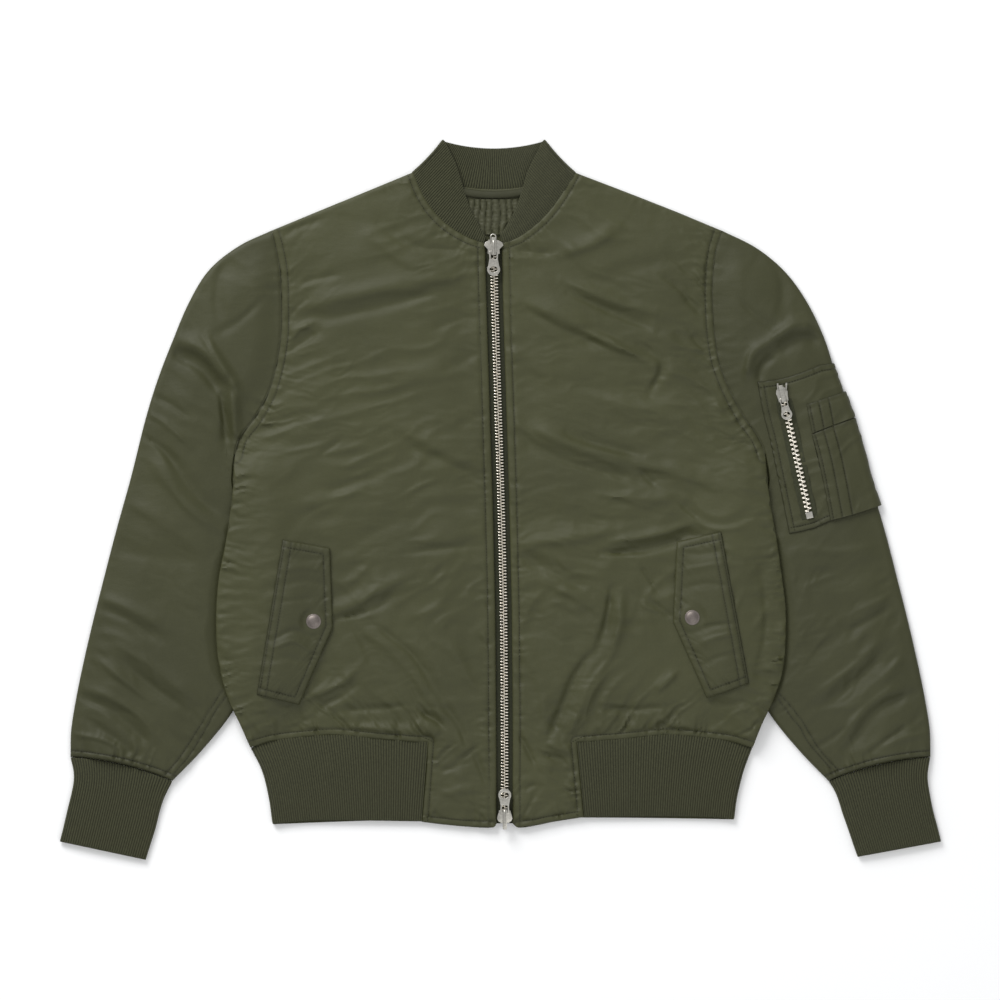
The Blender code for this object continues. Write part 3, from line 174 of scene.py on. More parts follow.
FRONT_LEFT_CREASES = [
    Crease(15, 260, 33, 257, 53, 256, -1.6, 5), Crease(62, 255, 95, 266, 121, 284, 1.8, 8),
    Crease(20, 208, 86, 176, 158, 142, 3.0, 11), Crease(29, 196, 72, 175, 110, 159, -2.2, 8),
    Crease(64, 228, 114, 208, 168, 191, 1.8, 7), Crease(70, 215, 114, 196, 163, 176, -1.6, 6),
    Crease(145, 162, 168, 141, 155, 112, -2.0, 7), Crease(103, 104, 155, 92, 210, 77, 1.8, 12),
    Crease(20, 78, 93, 50, 145, 36, 2.4, 9), Crease(145, 36, 187, 28, 224, 15, 2.0, 7),
    Crease(70, 69, 108, 56, 147, 47, -1.8, 6), Crease(31, 56, 83, 35, 141, 22, -1.6, 7),
    Crease(145, 31, 152, 23, 162, 15, -1.2, 4), Crease(191, 211, 199, 203, 209, 194, -1.4, 4),
    Crease(197, 173, 207, 163, 217, 153, -1.8, 5), Crease(166, 234, 181, 223, 198, 207, -1.2, 5),
    Crease(187, -4, 195, -12, 206, -20, -1.0, 4), Crease(103, 5, 145, 1, 189, 0, 1.6, 8),
    Crease(20, -47, 72, -40, 125, -30, 2.2, 8), Crease(103, -56, 150, -51, 207, -34, -3.0, 6),
    Crease(114, -43, 155, -38, 197, -25, 1.8, 6), Crease(15, -57, 62, -77, 94, -94, -1.8, 7),
    Crease(20, -73, 58, -92, 93, -108, 1.2, 8), Crease(115, -92, 110, -127, 101, -154, -2.2, 6),
    Crease(101, -154, 81, -177, 49, -252, -2.2, 6), Crease(126, -94, 123, -131, 114, -160, 1.8, 7),
    Crease(116, -160, 91, -198, 68, -250, 1.8, 7), Crease(145, -68, 153, -80, 162, -94, -1.4, 4),
    Crease(155, -104, 166, -113, 179, -123, -1.2, 4), Crease(161, -199, 172, -189, 183, -179, 1.8, 4),
    Crease(103, -217, 137, -218, 172, -215, -1.6, 5), Crease(166, -231, 171, -236, 178, -240, -1.4, 4),
    Crease(20, -244, 28, -260, 36, -277, -1.8, 4), Crease(41, -264, 57, -268, 73, -277, -1.8, 4),
    Crease(50, -281, 62, -285, 73, -292, -1.4, 4), Crease(25, -301, 31, -298, 37, -295, -1.2, 4),
    Crease(46, -252, 62, -258, 76, -262, 1.4, 4), Crease(62, 125, 124, 112, 197, 106, -1.0, 12),
    Crease(31, 0, 83, -21, 145, -21, -1.0, 10), Crease(207, -208, 233, -212, 257, -208, -1.0, 6),
    Crease(20, -146, 41, -187, 46, -239, 1.2, 8), Crease(197, 260, 166, 248, 103, 234, -0.9, 9),
    Crease(270, -62, 275, -125, 265, -198, -0.9, 7),
]
SLEEVE_RIGHT_CREASES = [
    Crease(-333, 165, -307, 154, -279, 120, 4.4, 8), Crease(-279, 120, -277, 94, -276, 60, 3.2, 6),
    Crease(-344, 154, -313, 139, -290, 108, -3.6, 7), Crease(-290, 108, -287, 83, -285, 56, -3.0, 6),
    Crease(-307, 172, -287, 139, -270, 110, 2.0, 5), Crease(-356, 62, -313, 2, -285, -16, -2.0, 9),
    Crease(-365, 47, -328, -3, -290, -32, 1.8, 9), Crease(-417, -101, -385, -114, -348, -133, 1.8, 7),
    Crease(-419, -111, -385, -127, -354, -146, -1.6, 6), Crease(-396, -152, -354, -179, -317, -209, 1.8, 7),
    Crease(-404, -161, -365, -191, -325, -220, -1.8, 6), Crease(-422, -162, -394, -185, -363, -209, 1.6, 6),
    Crease(-437, -203, -400, -222, -363, -256, -2.4, 6), Crease(-429, -196, -392, -212, -354, -243, 1.8, 6),
    Crease(-427, -230, -404, -246, -379, -266, -1.8, 5), Crease(-367, 110, -344, 100, -321, 83, -1.4, 5),
    Crease(-372, 92, -348, 79, -323, 56, 1.3, 5), Crease(-377, 71, -354, 54, -333, 31, -1.2, 5),
    Crease(-406, -47, -365, -58, -307, -62, -1.2, 10), Crease(-391, 0, -354, -21, -297, -62, 1.2, 10),
    Crease(-443, -244, -417, -248, -391, -258, 1.4, 4), Crease(-365, -231, -344, -245, -323, -258, -1.2, 5),
    Crease(-281, 260, -294, 224, -290, 177, -1.4, 10), Crease(-248, 208, -271, 187, -297, 172, -1.2, 6),
]
SLEEVE_LEFT_CREASES = [
    Crease(329, 179, 306, 182, 275, 163, 4.2, 8), Crease(275, 163, 261, 152, 254, 128, 3.6, 6),
    Crease(334, 166, 311, 168, 285, 152, -3.0, 7), Crease(285, 152, 272, 139, 268, 121, -3.0, 6),
    Crease(406, -98, 380, -112, 352, -126, 1.8, 7), Crease(408, -109, 382, -125, 355, -139, -1.6, 6),
    Crease(396, -146, 363, -175, 326, -204, 1.8, 7), Crease(403, -156, 370, -187, 334, -216, -1.8, 6),
    Crease(422, -161, 393, -187, 362, -214, 1.6, 6), Crease(432, -200, 395, -216, 359, -261, -2.4, 6),
    Crease(424, -193, 388, -208, 351, -248, 1.8, 6), Crease(427, -230, 403, -248, 378, -266, -1.8, 5),
    Crease(397, -62, 363, -75, 311, -73, -1.2, 9), Crease(395, -47, 353, -54, 311, -50, 1.2, 8),
    Crease(443, -242, 415, -248, 391, -258, 1.4, 4), Crease(363, -233, 343, -248, 322, -260, -1.2, 5),
    Crease(280, 260, 293, 224, 289, 182, -1.4, 10), Crease(247, 208, 268, 189, 291, 175, -1.2, 6),
    Crease(374, -104, 343, -146, 311, -161, -1.2, 8),
]


# ---------------------------------------------------------------- curves and fields
def ramp(value):
    value = np.clip(value, 0.0, 1.0)
    return value * value * (3.0 - 2.0 * value)


class Path:
    """A smooth line through places in plan, with sharp turns only at the corners that are named."""

    def __init__(self, points, corners=(), steps=6):
        points = np.array(points, float)
        stops = [0] + list(corners) + [len(points) - 1]
        places, index = [], []
        for first, last in zip(stops, stops[1:]):
            part = points[first:last + 1]
            part = np.vstack([2 * part[0] - part[1], part, 2 * part[-1] - part[-2]])
            for k in range(last - first):
                a, b, c, d = part[k:k + 4]
                t = np.linspace(0, 1, steps, endpoint=False)[:, None]
                places.append(0.5 * (2 * b + (c - a) * t + (2 * a - 5 * b + 4 * c - d) * t ** 2
                                     + (3 * b - a - 3 * c + d) * t ** 3))
                index.append(first + k + t[:, 0])
        self.points = np.vstack(places + [points[-1:]])
        self.index = np.concatenate(index + [[len(points) - 1]])
        self.travel = np.concatenate([[0], np.cumsum(np.hypot(*np.diff(self.points, axis=0).T))])

    def at(self, index):
        return np.stack([np.interp(index, self.index, self.points[:, k]) for k in (0, 1)], axis=-1)

    def along(self, travel):
        return np.stack([np.interp(travel, self.travel, self.points[:, k]) for k in (0, 1)], axis=-1)

    def near(self, x, y):
        """How far places are from the line, how far along it, and on which side."""
        x, y = np.asarray(x, float), np.asarray(y, float)
        best = np.full(x.shape, 1e9)
        travel, side = np.zeros(x.shape), np.ones(x.shape)
        for k in range(len(self.points) - 1):
            (x0, y0), (x1, y1) = self.points[k], self.points[k + 1]
            dx, dy = x1 - x0, y1 - y0
            length2 = dx * dx + dy * dy
            if length2 < 1e-9:
                continue
            t = np.clip(((x - x0) * dx + (y - y0) * dy) / length2, 0, 1)
            away = np.hypot(x - x0 - t * dx, y - y0 - t * dy)
            closer = away < best
            best = np.where(closer, away, best)
            travel = np.where(closer, self.travel[k] + t * math.sqrt(length2), travel)
            side = np.where(closer, np.sign(dx * (y - y0) - dy * (x - x0)), side)
        return best, travel, side

    def moved(self, away):
        """The line moved sideways, to its left where away is positive."""
        step = np.gradient(self.points, axis=0)
        step /= np.maximum(np.linalg.norm(step, axis=1, keepdims=True), 1e-9)
        return Path(self.points + away * np.stack([-step[:, 1], step[:, 0]], axis=1), steps=1)


def noise(x, y, size, seed):
    """Smooth noise from -1 to 1, with bumps of about the given size."""
    table = np.random.default_rng(seed).uniform(-1, 1, (64, 64))
    gx, gy = np.asarray(x, float) / size + 31.7, np.asarray(y, float) / size + 17.3
    ix, iy = np.floor(gx).astype(int), np.floor(gy).astype(int)
    fx, fy = ramp(gx - ix), ramp(gy - iy)
    low = table[ix % 64, iy % 64] * (1 - fx) + table[(ix + 1) % 64, iy % 64] * fx
    high = table[ix % 64, (iy + 1) % 64] * (1 - fx) + table[(ix + 1) % 64, (iy + 1) % 64] * fx
    return low * (1 - fy) + high * fy


CREASE_END = 0.22  # the part of a crease in which it fades at each end


def crease_height(x, y, creases):
    """The height that the creases give: soft on one flank, tighter on the other, fading at their ends."""
    total = np.zeros(np.shape(x))
    for k, c in enumerate(creases):
        reach = 3.2 * c.width
        low_x, high_x = min(c.x0, c.x1, c.x2) - reach, max(c.x0, c.x1, c.x2) + reach
        low_y, high_y = min(c.y0, c.y1, c.y2) - reach, max(c.y0, c.y1, c.y2) + reach
        inside = (x > low_x) & (x < high_x) & (y > low_y) & (y < high_y)
        if not inside.any():
            continue
        px, py = x[inside], y[inside]
        line = Path([(c.x0, c.y0), (c.x1, c.y1), (c.x2, c.y2)], steps=5)
        wander = noise(px, py, 26.0, 100 + k) * 0.16 * c.width
        away, travel, side = line.near(px, py)
        whole = line.travel[-1]
        part = travel / whole
        fade = 0.35 + 0.65 * (ramp(part / CREASE_END) * ramp((1.0 - part) / CREASE_END))
        width = c.width * np.where(side > 0, 1.15, 0.8) * (0.8 + 0.4 * noise(travel, 0 * travel, 40.0, k))
        total[inside] += c.height * fade * np.exp(-(np.maximum(away + wander, 0) / width) ** 2)
    return total


def puckers(away, travel, depth, reach, size, seed, lean=0.0):
    """Small gathers that run out from a line of stitching, uneven in depth and spacing."""
    wander = travel - lean * away + 2.2 * noise(away, travel, 9.0, seed + 20)
    wave = 1.0 - 2.2 * np.abs(noise(wander, away * 0.12, size, seed))
    strength = 0.75 + 0.7 * noise(travel, 0.0 * travel, 37.0, seed + 3)
    return depth * strength * wave * np.exp(-away / reach)


def wrinkles(x, y, angle, size, long, seed):
    """Soft crumpled ridges that run mostly one way: from about -1 to 1."""
    turn = math.radians(angle)
    along = x * math.cos(turn) + y * math.sin(turn)
    across = y * math.cos(turn) - x * math.sin(turn)
    across = across + 0.9 * size * noise(x, y, 3.0 * size, seed + 1)
    wave = noise(along / long, across, size, seed)
    return 1.0 - 2.4 * np.sqrt(wave * wave + 0.006)


def groove(away, at, depth, width=1.5):
    return -depth * np.exp(-((away - at) / width) ** 2)


def roll(away, radius):
    """The rounding of an edge: 0 at the edge and 1 from the radius inwards."""
    inside = np.clip(1.0 - away / radius, 0.0, 1.0)
    return np.sqrt(1.0 - inside * inside)


def edged(length, cell, ends=(0.0, 0.45, 1.1, 2.1)):
    """Cuts along a length: even cells, and closer ones at both ends."""
    count = max(2, round((length - 2 * ends[-1]) / cell))
    middle = np.linspace(ends[-1], length - ends[-1], count + 1)
    return np.concatenate([ends[:-1], middle, length - np.array(ends[:-1])[::-1]])


# ---------------------------------------------------------------- meshes
def finish_mesh(name, points, faces, look, smooth=50.0, attributes=None):
    mesh = bpy.data.meshes.new(name)
    mesh.from_pydata((np.asarray(points, float) * MM).tolist(), [], faces)
    mesh.validate()
    shape = bmesh.new()
    shape.from_mesh(mesh)
    bmesh.ops.recalc_face_normals(shape, faces=shape.faces)
    shape.to_mesh(mesh)
    shape.free()
    mesh.shade_smooth()
    mesh.set_sharp_from_angle(angle=math.radians(smooth))
    for key, values in (attributes or {}).items():
        if len(values) == len(mesh.vertices):
            layer = mesh.attributes.new(key, "FLOAT", "POINT")
            layer.data.foreach_set("value", np.asarray(values, np.float32))
    made = bpy.data.objects.new(name, mesh)
    bpy.context.scene.collection.objects.link(made)
    mesh.materials.append(look)
    return made


def panel(name, plan, top, low, look, kept=None, every=9, seam=None, breaks=()):
    """A closed piece of cloth over a grid: a fine upper face and a lower one with fewer columns."""
    rows, columns = top.shape
    if kept is None:
        kept = np.ones((rows - 1, columns - 1), bool)
    coarse = sorted(set(range(0, columns, every)) | {columns - 1} | set(breaks))
    top_at = np.arange(rows * columns).reshape(rows, columns)
    low_at = rows * columns + np.arange(rows * len(coarse)).reshape(rows, len(coarse))
    points = np.concatenate([
        np.dstack([plan, top[..., None]]).reshape(-1, 3),
        np.dstack([plan[:, coarse], low[:, coarse][..., None]]).reshape(-1, 3)])
    i, j = np.nonzero(kept)
    faces = np.stack([top_at[i, j], top_at[i, j + 1], top_at[i + 1, j + 1], top_at[i + 1, j]], 1).tolist()
    cell = kept[:, [min(c, columns - 2) for c in coarse[:-1]]]
    for a in range(rows - 1):
        for b in range(len(coarse) - 1):
            if not cell[a, b]:
                continue
            faces.append([low_at[a, b], low_at[a + 1, b], low_at[a + 1, b + 1], low_at[a, b + 1]])
            first, last = coarse[b], coarse[b + 1]
            if b == 0 or not cell[a, b - 1]:
                faces.append([top_at[a, first], top_at[a + 1, first], low_at[a + 1, b], low_at[a, b]])
            if b == len(coarse) - 2 or not cell[a, b + 1]:
                faces.append([top_at[a + 1, last], top_at[a, last], low_at[a, b + 1], low_at[a + 1, b + 1]])
            if a == 0 or not cell[a - 1, b]:
                faces.append([*top_at[a, first:last + 1][::-1], low_at[a, b], low_at[a, b + 1]])
            if a == rows - 2 or not cell[a + 1, b]:
                faces.append([*top_at[a + 1, first:last + 1], low_at[a + 1, b + 1], low_at[a + 1, b]])
    faces = [[int(v) for v in face] for face in faces]
    used = np.zeros(len(points), bool)
    for face in faces:
        used[face] = True
    number = np.cumsum(used) - 1
    faces = [[int(number[v]) for v in face] for face in faces]
    # seam holds the painted shade of the upper face.
    marks = None
    if seam is not None:
        marks = {"seam": np.concatenate([seam.ravel(), np.zeros(rows * len(coarse))])[used]}
    return finish_mesh(name, points[used], faces, look, attributes=marks)


def wall_faces(count, around, shift=0, closed=True, flip=False):
    """The faces between rows of places that are numbered from shift: rings, or open lines."""
    k = np.arange(around if closed else around - 1)
    n = (k + 1) % around
    faces = []
    for i in range(count - 1):
        a, b = shift + i * around, shift + (i + 1) * around
        a, b = (b, a) if flip else (a, b)
        faces += np.stack([a + k, a + n, b + n, b + k], 1).tolist()
    return faces


def capped(count, around):
    """The faces of a stack of rings that has a flat face at both ends."""
    top = (count - 1) * around
    return wall_faces(count, around) + [list(range(around))[::-1], [top + k for k in range(around)]]


def thin(name, outer, inner, look, seam=None, inner_seam=None, closed=True):
    """A closed wall from the rows of its outer face and, with fewer rows, of its inner face.

    The rows are rings where the piece is a tube, and lines where it is a strip.
    """
    rows, around = outer.shape[:2]
    inner_rows = inner.shape[0]
    points = np.concatenate([outer.reshape(-1, 3), inner.reshape(-1, 3)])
    shift = rows * around
    faces = wall_faces(rows, around, 0, closed) + wall_faces(inner_rows, around, shift, closed, True)
    k = np.arange(around if closed else around - 1)
    n = (k + 1) % around
    end, inner_end = (rows - 1) * around, shift + (inner_rows - 1) * around
    faces += np.stack([n, k, shift + k, shift + n], 1).tolist()
    faces += np.stack([end + k, end + n, inner_end + n, inner_end + k], 1).tolist()
    if not closed:
        for column, turn in ((0, 1), (around - 1, -1)):
            up = [i * around + column for i in range(rows)]
            down = [shift + i * around + column for i in range(inner_rows)]
            faces.append((up + down[::-1])[::turn])
    # seam and inner_seam hold the painted shade of the outer and inner faces.
    marks = None
    if seam is not None:
        inside = np.zeros(inner_rows * around) if inner_seam is None else inner_seam.ravel()
        marks = {"seam": np.concatenate([np.asarray(seam).ravel(), inside])}
    return finish_mesh(name, points, faces, look, 50.0 if closed else 60.0, marks)


def coons(low, high, start, end, across, up):
    """A grid of places inside four lines: low and high run across, and start and end run up."""
    lines = [line.along(cuts * line.travel[-1]) for line, cuts in
             ((low, across), (high, across), (start, up), (end, up))]
    bottom, top, left, right = lines
    a, u = across[None, :, None], up[:, None, None]
    flat = ((1 - a) * ((1 - u) * bottom[0] + u * top[0]) + a * ((1 - u) * bottom[-1] + u * top[-1]))
    return ((1 - u) * bottom[None] + u * top[None] + (1 - a) * left[:, None] + a * right[:, None] - flat)


def normals(grid):
    """The outward directions of a grid of places in space."""
    down = np.gradient(grid, axis=0)
    along = np.gradient(grid, axis=1)
    out = np.cross(along, down)
    out /= np.maximum(np.linalg.norm(out, axis=2, keepdims=True), 1e-9)
    return out * np.where(out[..., 2].mean() < 0, -1.0, 1.0)


# ---------------------------------------------------------------- the layers of the body
HEM_LINE = Path(HEM_SEAM)
ZIP_MIDDLE = Path([(x, y) for y, x in ZIP_LINE], steps=2)


def zip_x(y):
    return np.interp(y, [row[0] for row in ZIP_LINE], [row[1] for row in ZIP_LINE])


def hem_y(x):
    return np.interp(x, HEM_LINE.points[:, 0], HEM_LINE.points[:, 1])


def column(rows, *names):
    return [tuple(getattr(row, name) for name in names) for row in rows]


SLEEVE_IN = {side: Path(column(SLEEVE_ROWS, SIDES[side] + "_ix", "inner_y")) for side in SIDES}
SLEEVE_OUT = {side: Path(column(SLEEVE_ROWS, SIDES[side] + "_ox", SIDES[side] + "_oy")) for side in SIDES}
BODY_LINE = {side: Path(column(BODY_EDGE, SIDES[side] + "_x", "y")) for side in SIDES}
ARMHOLE = {side: Path(BODY_LINE[side].points[BODY_LINE[side].index >= ARMPIT_ROW], steps=1) for side in SIDES}
SIDE_FOLD = {side: Path(BODY_LINE[side].points[BODY_LINE[side].index <= ARMPIT_ROW], steps=1)
             for side in SIDES}


def x_at(line, y):
    order = np.argsort(line.points[:, 1])
    return np.interp(y, line.points[order, 1], line.points[order, 0])


def lift(x, y):
    """How far the body is raised by the sleeve that is tucked under its side."""
    height = np.zeros(np.shape(x))
    for side in SIDES:
        past = side * (x - x_at(SLEEVE_IN[side], y))
        height = np.maximum(height, LIFT * ramp((past + LIFT_FLAT + LIFT_FALL) / LIFT_FALL))
    return height * ramp((ARMPIT_Y + ARMPIT_START - y) / ARMPIT_RISE)


FRONT_SEED = {RIGHT: 11, LEFT: 57}
# the heights at which a side fold is pinched in over the sleeve
PINCHES = {RIGHT: (18.5, -4.0, -28.0), LEFT: (20.0, -4.5, -31.0)}
# gathers along a front's seams: close to the row of stitching, and longer ones that lean out past start
Gather = namedtuple("Gather", "line stitch depth reach seed far_depth far_reach size far_seed lean start")
FRONT_GATHERS = [Gather("zip", 7.8, 1.2, 9.0, 2, 1.4, 18.0, 8.0, 20, 0.3, 8.0),
                 Gather("neck", 7.0, 1.2, 9.0, 4, 1.4, 22.0, 9.0, 18, 0.4, 7.0),
                 Gather("arm", 7.5, 1.7, 10.0, 6, 2.4, 22.0, 7.5, 14, 0.7, 7.0),
                 Gather("hem", 6.5, 2.2, 10.0, 8, 2.8, 24.0, 8.0, 16, 0.9, 6.5)]
GATHER_SIZE, GATHER_START = 5.5, 4.0
# closer cuts at a front's edges: its rounding, then the line of stitching
SEAM_CUTS = (0.0, 0.45, 1.1, 2.1, 3.9, 5.5, 6.2, 6.9, 7.6, 8.3)


class Front:
    """One front: its plan, its height and the lines that its seams follow."""

    def __init__(self, side, creases):
        self.side = side
        self.creases = creases
        name = SIDES[side] + "_x"
        inner = [(zip_x(y) + side * FRONT_EDGE, y) for y in INNER_Y]
        self.inner = Path(inner + column(NECK_EDGE[1:], name, "y"), corners=(NECK_BASE_ROW,))
        self.outer = BODY_LINE[side]
        down = SQUARE_BOTTOM[side]
        placket = self.inner.points[self.inner.index <= NECK_BASE_ROW]
        self.placket = Path(np.vstack([down[0], placket]), steps=1)
        self.neck = Path(self.inner.points[self.inner.index >= NECK_BASE_ROW], steps=1)
        self.shoulder = Path([self.outer.points[-1], self.inner.points[-1]], steps=1)
        square = SQUARE_LINE[side]
        hem = [(x, hem_y(x)) for x in np.linspace(square[-1][0], side * 262.0, 30)]
        bottom = Path(down[1:], steps=4).points
        self.welt = Path(np.vstack([bottom, square[1:], hem[1:]]), steps=1)
        self.bottom = Path(down, steps=4)

    def plan(self):
        """The places of the front's mesh, its columns' breaks and which cells it has."""
        side, outer, inner = self.side, self.outer, self.inner
        travel = (outer.travel + inner.travel) / 2
        rows = np.interp(edged(travel[-1], GRID, SEAM_CUTS), travel, inner.index)
        width = abs(outer.points[0, 0] - inner.points[0, 0])
        part = abs(SQUARE_LINE[side][-1][0] - inner.points[0, 0]) / width
        wide = width + 20.0
        first = edged(part * wide, GRID, SEAM_CUTS) / wide
        second = part + edged((1 - part) * wide, GRID, SEAM_CUTS) / wide
        columns = np.concatenate([first, second[1:]])
        start, end = inner.at(rows)[:, None], outer.at(rows)[:, None]
        plan = start + columns[None, :, None] * (end - start)
        drop = (hem_y(plan[0, :, 0]) - BODY_EDGE[0].y)[None] * np.clip(1 - rows / 2.0, 0, 1)[:, None]
        plan[..., 1] += drop
        from_side = np.abs(plan[..., 0] - x_at(SIDE_FOLD[side], plan[..., 1]))
        for y in PINCHES[side]:
            notch = np.exp(-((plan[..., 1] - y) / 3.2) ** 2) * np.exp(-from_side / 8.0)
            plan[..., 0] -= side * 2.0 * notch
        count = len(first)
        height = abs(plan[0, 0, 1] - self.bottom.points[0, 1])
        ups = edged(height, GRID, SEAM_CUTS)[:-1] / height
        low = self.bottom.along(np.clip(columns / part, 0, 1) * self.bottom.travel[-1])
        square = low[None] + ups[:, None, None] * (plan[0] - low)[None]
        square[:, count:] = square[:, count - 1:count]
        whole = np.concatenate([square, plan])
        kept = np.ones((len(whole) - 1, len(columns) - 1), bool)
        kept[:len(ups), count - 1:] = False
        return whole, kept, count - 1

    def under(self, x, y):
        from_zip = np.abs(x - zip_x(y))
        neck = np.hypot(x + 12.0, np.maximum(300.0 - y, 0) + np.maximum(y - 341.0, 0))
        rise = np.maximum(ramp((40.0 - from_zip) / 30.0), ramp((110.0 - neck) / 60.0))
        return lift(x, y) + SHELL + LAYER + ZIP_RISE * rise

    def loose(self, x, y, away, fine):
        """The padded cloth between the seams: its loft, its folds and its crumples."""
        seed = FRONT_SEED[self.side]
        full = SHELL + FRONT_PUFF * ramp(away / 60.0)
        full = full + 0.9 * noise(x, y, 55.0, seed) * ramp(away / 30.0)
        full = full + 0.35 * noise(x, y, 21.0, seed + 1) * ramp(away / 16.0)
        folds = FOLD_DEPTH[self.side] * crease_height(x, y, self.creases) * ramp((away + 3.0) / 12.0)
        full = full + folds * (0.45 + 0.55 * fine)
        wear_and_shade = ramp((noise(x, y, 62.0, seed + 31) + 0.15) / 0.6)
        streaks = noise(x * 0.3 + 0.15 * y, y, 8.0, seed + 30) * wear_and_shade
        full = full + 0.5 * fine * streaks * ramp(away / 10.0)
        for k, c in enumerate(CRUMPLES[self.side]):
            part = ramp((y - c.low) / 50.0 + 0.5) * ramp((c.high - y) / 50.0 + 0.5)
            patchy = ramp((noise(x, y, 75.0, seed + 40 + k) + 0.55) / 0.9)
            ridges = wrinkles(x, y, c.angle, c.size, c.long, seed + 50 + 2 * k)
            full = full + CRUMPLE_DEPTH * c.depth * fine * part * patchy * ridges * ramp(away / 14.0)
        return full

    def gathered(self, y, near):
        """What the stitching does: gathers, the pinches of the side fold, and a groove for each row."""
        seed = FRONT_SEED[self.side]
        small = 0.0
        for g in FRONT_GATHERS:
            away, travel = near[g.line]
            beside = np.abs(away - g.stitch)
            small = small + puckers(beside, travel, g.depth, g.reach, GATHER_SIZE, seed + g.seed)
            far = puckers(away, travel, g.far_depth, g.far_reach, g.size, seed + g.far_seed, g.lean)
            small = small + far * ramp((away - g.start) / GATHER_START)
        small = small + puckers(*near["top"], 0.6, 10.0, 9.0, seed + 10)
        small = small + puckers(*near["side"], 3.2, 15.0, GATHER_SIZE, seed + 12) * ramp((70.0 - y) / 60.0)
        side_d = near["side"][0]
        for pinch in PINCHES[self.side]:
            up = y - pinch - 0.2 * side_d
            small = small - 2.6 * np.exp(-(up / 2.3) ** 2) * np.exp(-side_d / 9.0)
            small = small + 1.2 * np.exp(-((up + 5.0) / 2.5) ** 2) * np.exp(-side_d / 9.0)
        return small + sum(groove(near[g.line][0], g.stitch, 0.75, 1.3) for g in FRONT_GATHERS)

    def top(self, x, y, fine=1.0):
        """The upper face, and how much painted shade each place gets along its seams and rows of stitching."""
        lines = {"zip": self.placket, "neck": self.neck, "top": self.shoulder, "arm": ARMHOLE[self.side],
                 "side": SIDE_FOLD[self.side], "hem": self.welt}
        near = {name: line.near(x, y)[:2] for name, line in lines.items()}
        zip_d, neck_d, top_d, arm_d, side_d, hem_d = [away for away, _ in near.values()]
        away = np.minimum.reduce([zip_d, neck_d, top_d, arm_d, side_d, hem_d])
        full = self.loose(x, y, away, fine) - SIDE_ROUND * (1.0 - roll(side_d, SIDE_RADIUS))
        full = full + fine * self.gathered(y, near)
        edge = (roll(zip_d, 2.8) * np.maximum(roll(neck_d, 2.6), 0.4) * np.maximum(roll(arm_d, 2.6), 0.7)
                * roll(top_d, 4.0) * roll(side_d, 6.0) * np.maximum(roll(hem_d, 2.4), 0.3))
        # Painted shade: dark lines down the rows of stitching, and where the front meets the sleeve and the
        # hem's welt.
        seam = np.maximum.reduce([np.exp(-((near[g.line][0] - g.stitch) / 0.8) ** 2) for g in FRONT_GATHERS])
        seam = np.maximum(0.7 * seam, 0.55 * np.exp(-np.minimum(arm_d, hem_d) / 0.8))
        return self.under(x, y) + 0.8 + (np.maximum(full, 1.5) - 0.8) * edge, seam

    def build(self, look):
        plan, kept, split = self.plan()
        x, y = plan[..., 0], plan[..., 1]
        top, seam = self.top(x, y)
        return panel("cloth_front_" + SIDES[self.side], plan, top, self.under(x, y), look, kept,
                     seam=seam, breaks=(split,))


# ---------------------------------------------------------------- the back
BACK_CREASES = [Crease(-180, 150, -60, 120, 90, 150, 1.2, 14), Crease(-200, 20, -90, -10, 40, 10, 1.0, 12),
                Crease(60, 60, 130, 30, 210, 50, 1.1, 10), Crease(-150, -150, -40, -180, 60, -150, 1.2, 12),
                Crease(90, -90, 160, -130, 220, -190, 1.1, 10), Crease(-60, 260, 0, 240, 70, 262, 0.8, 9)]
SHOULDER = {RIGHT: [(-238, 280), (-190, 300), (-141, 320), (-90, 341)],
            LEFT: [(230, 280), (182, 300), (131, 320), (76, 341)]}
NECK_DIP = 18.0
BACK_CELL = 4.6


def back_neck(part):
    """The seam of the back's neck, from the right shoulder to the left."""
    (right_x, y), (left_x, _) = SHOULDER[RIGHT][-1], SHOULDER[LEFT][-1]
    across = 2.0 * part - 1.0
    return np.stack([right_x + part * (left_x - right_x), y - NECK_DIP * (1.0 - across * across)], -1)


def build_back(look):
    """The back panel: level where it rests, with its creases pressed into its underside."""
    across = edged(1.0, BACK_CELL / 540.0, (0.0, 0.0015, 0.004, 0.009))
    low = Path([(x, hem_y(x)) for x in np.linspace(-260, 262, 60)], steps=1)
    high = Path(np.vstack([SHOULDER[RIGHT][:-1], back_neck(np.linspace(0, 1, 16)), SHOULDER[LEFT][-2::-1]]),
                steps=1)
    up = edged(1.0, BACK_CELL / 560.0, (0.0, 0.0015, 0.004, 0.009))
    plan = coons(low, high, BODY_LINE[RIGHT], BODY_LINE[LEFT], across, up)
    x, y = plan[..., 0], plan[..., 1]
    edges = [BODY_LINE[RIGHT].near(x, y), BODY_LINE[LEFT].near(x, y), low.near(x, y), high.near(x, y)]
    away = np.minimum.reduce([line[0] for line in edges])
    inner = np.minimum.reduce([roll(line[0], 3.0) for line in edges])
    raised = lift(x, y)
    press = crease_height(x, y, BACK_CREASES)
    press = press + sum(puckers(d, t, 0.5, 12.0, 12.0, 300 + k) for k, (d, t, _) in enumerate(edges))
    press = press + np.where(away < 9.0, -groove(away, 7.0, 0.5, 1.2), 0.0)
    under = raised + np.clip(press, 0.0, 1.3) * inner + 1.6 * (1.0 - inner)
    over = raised + SHELL - 0.8 * (1.0 - inner)
    return panel("cloth_back", plan, under, over, look, every=4)


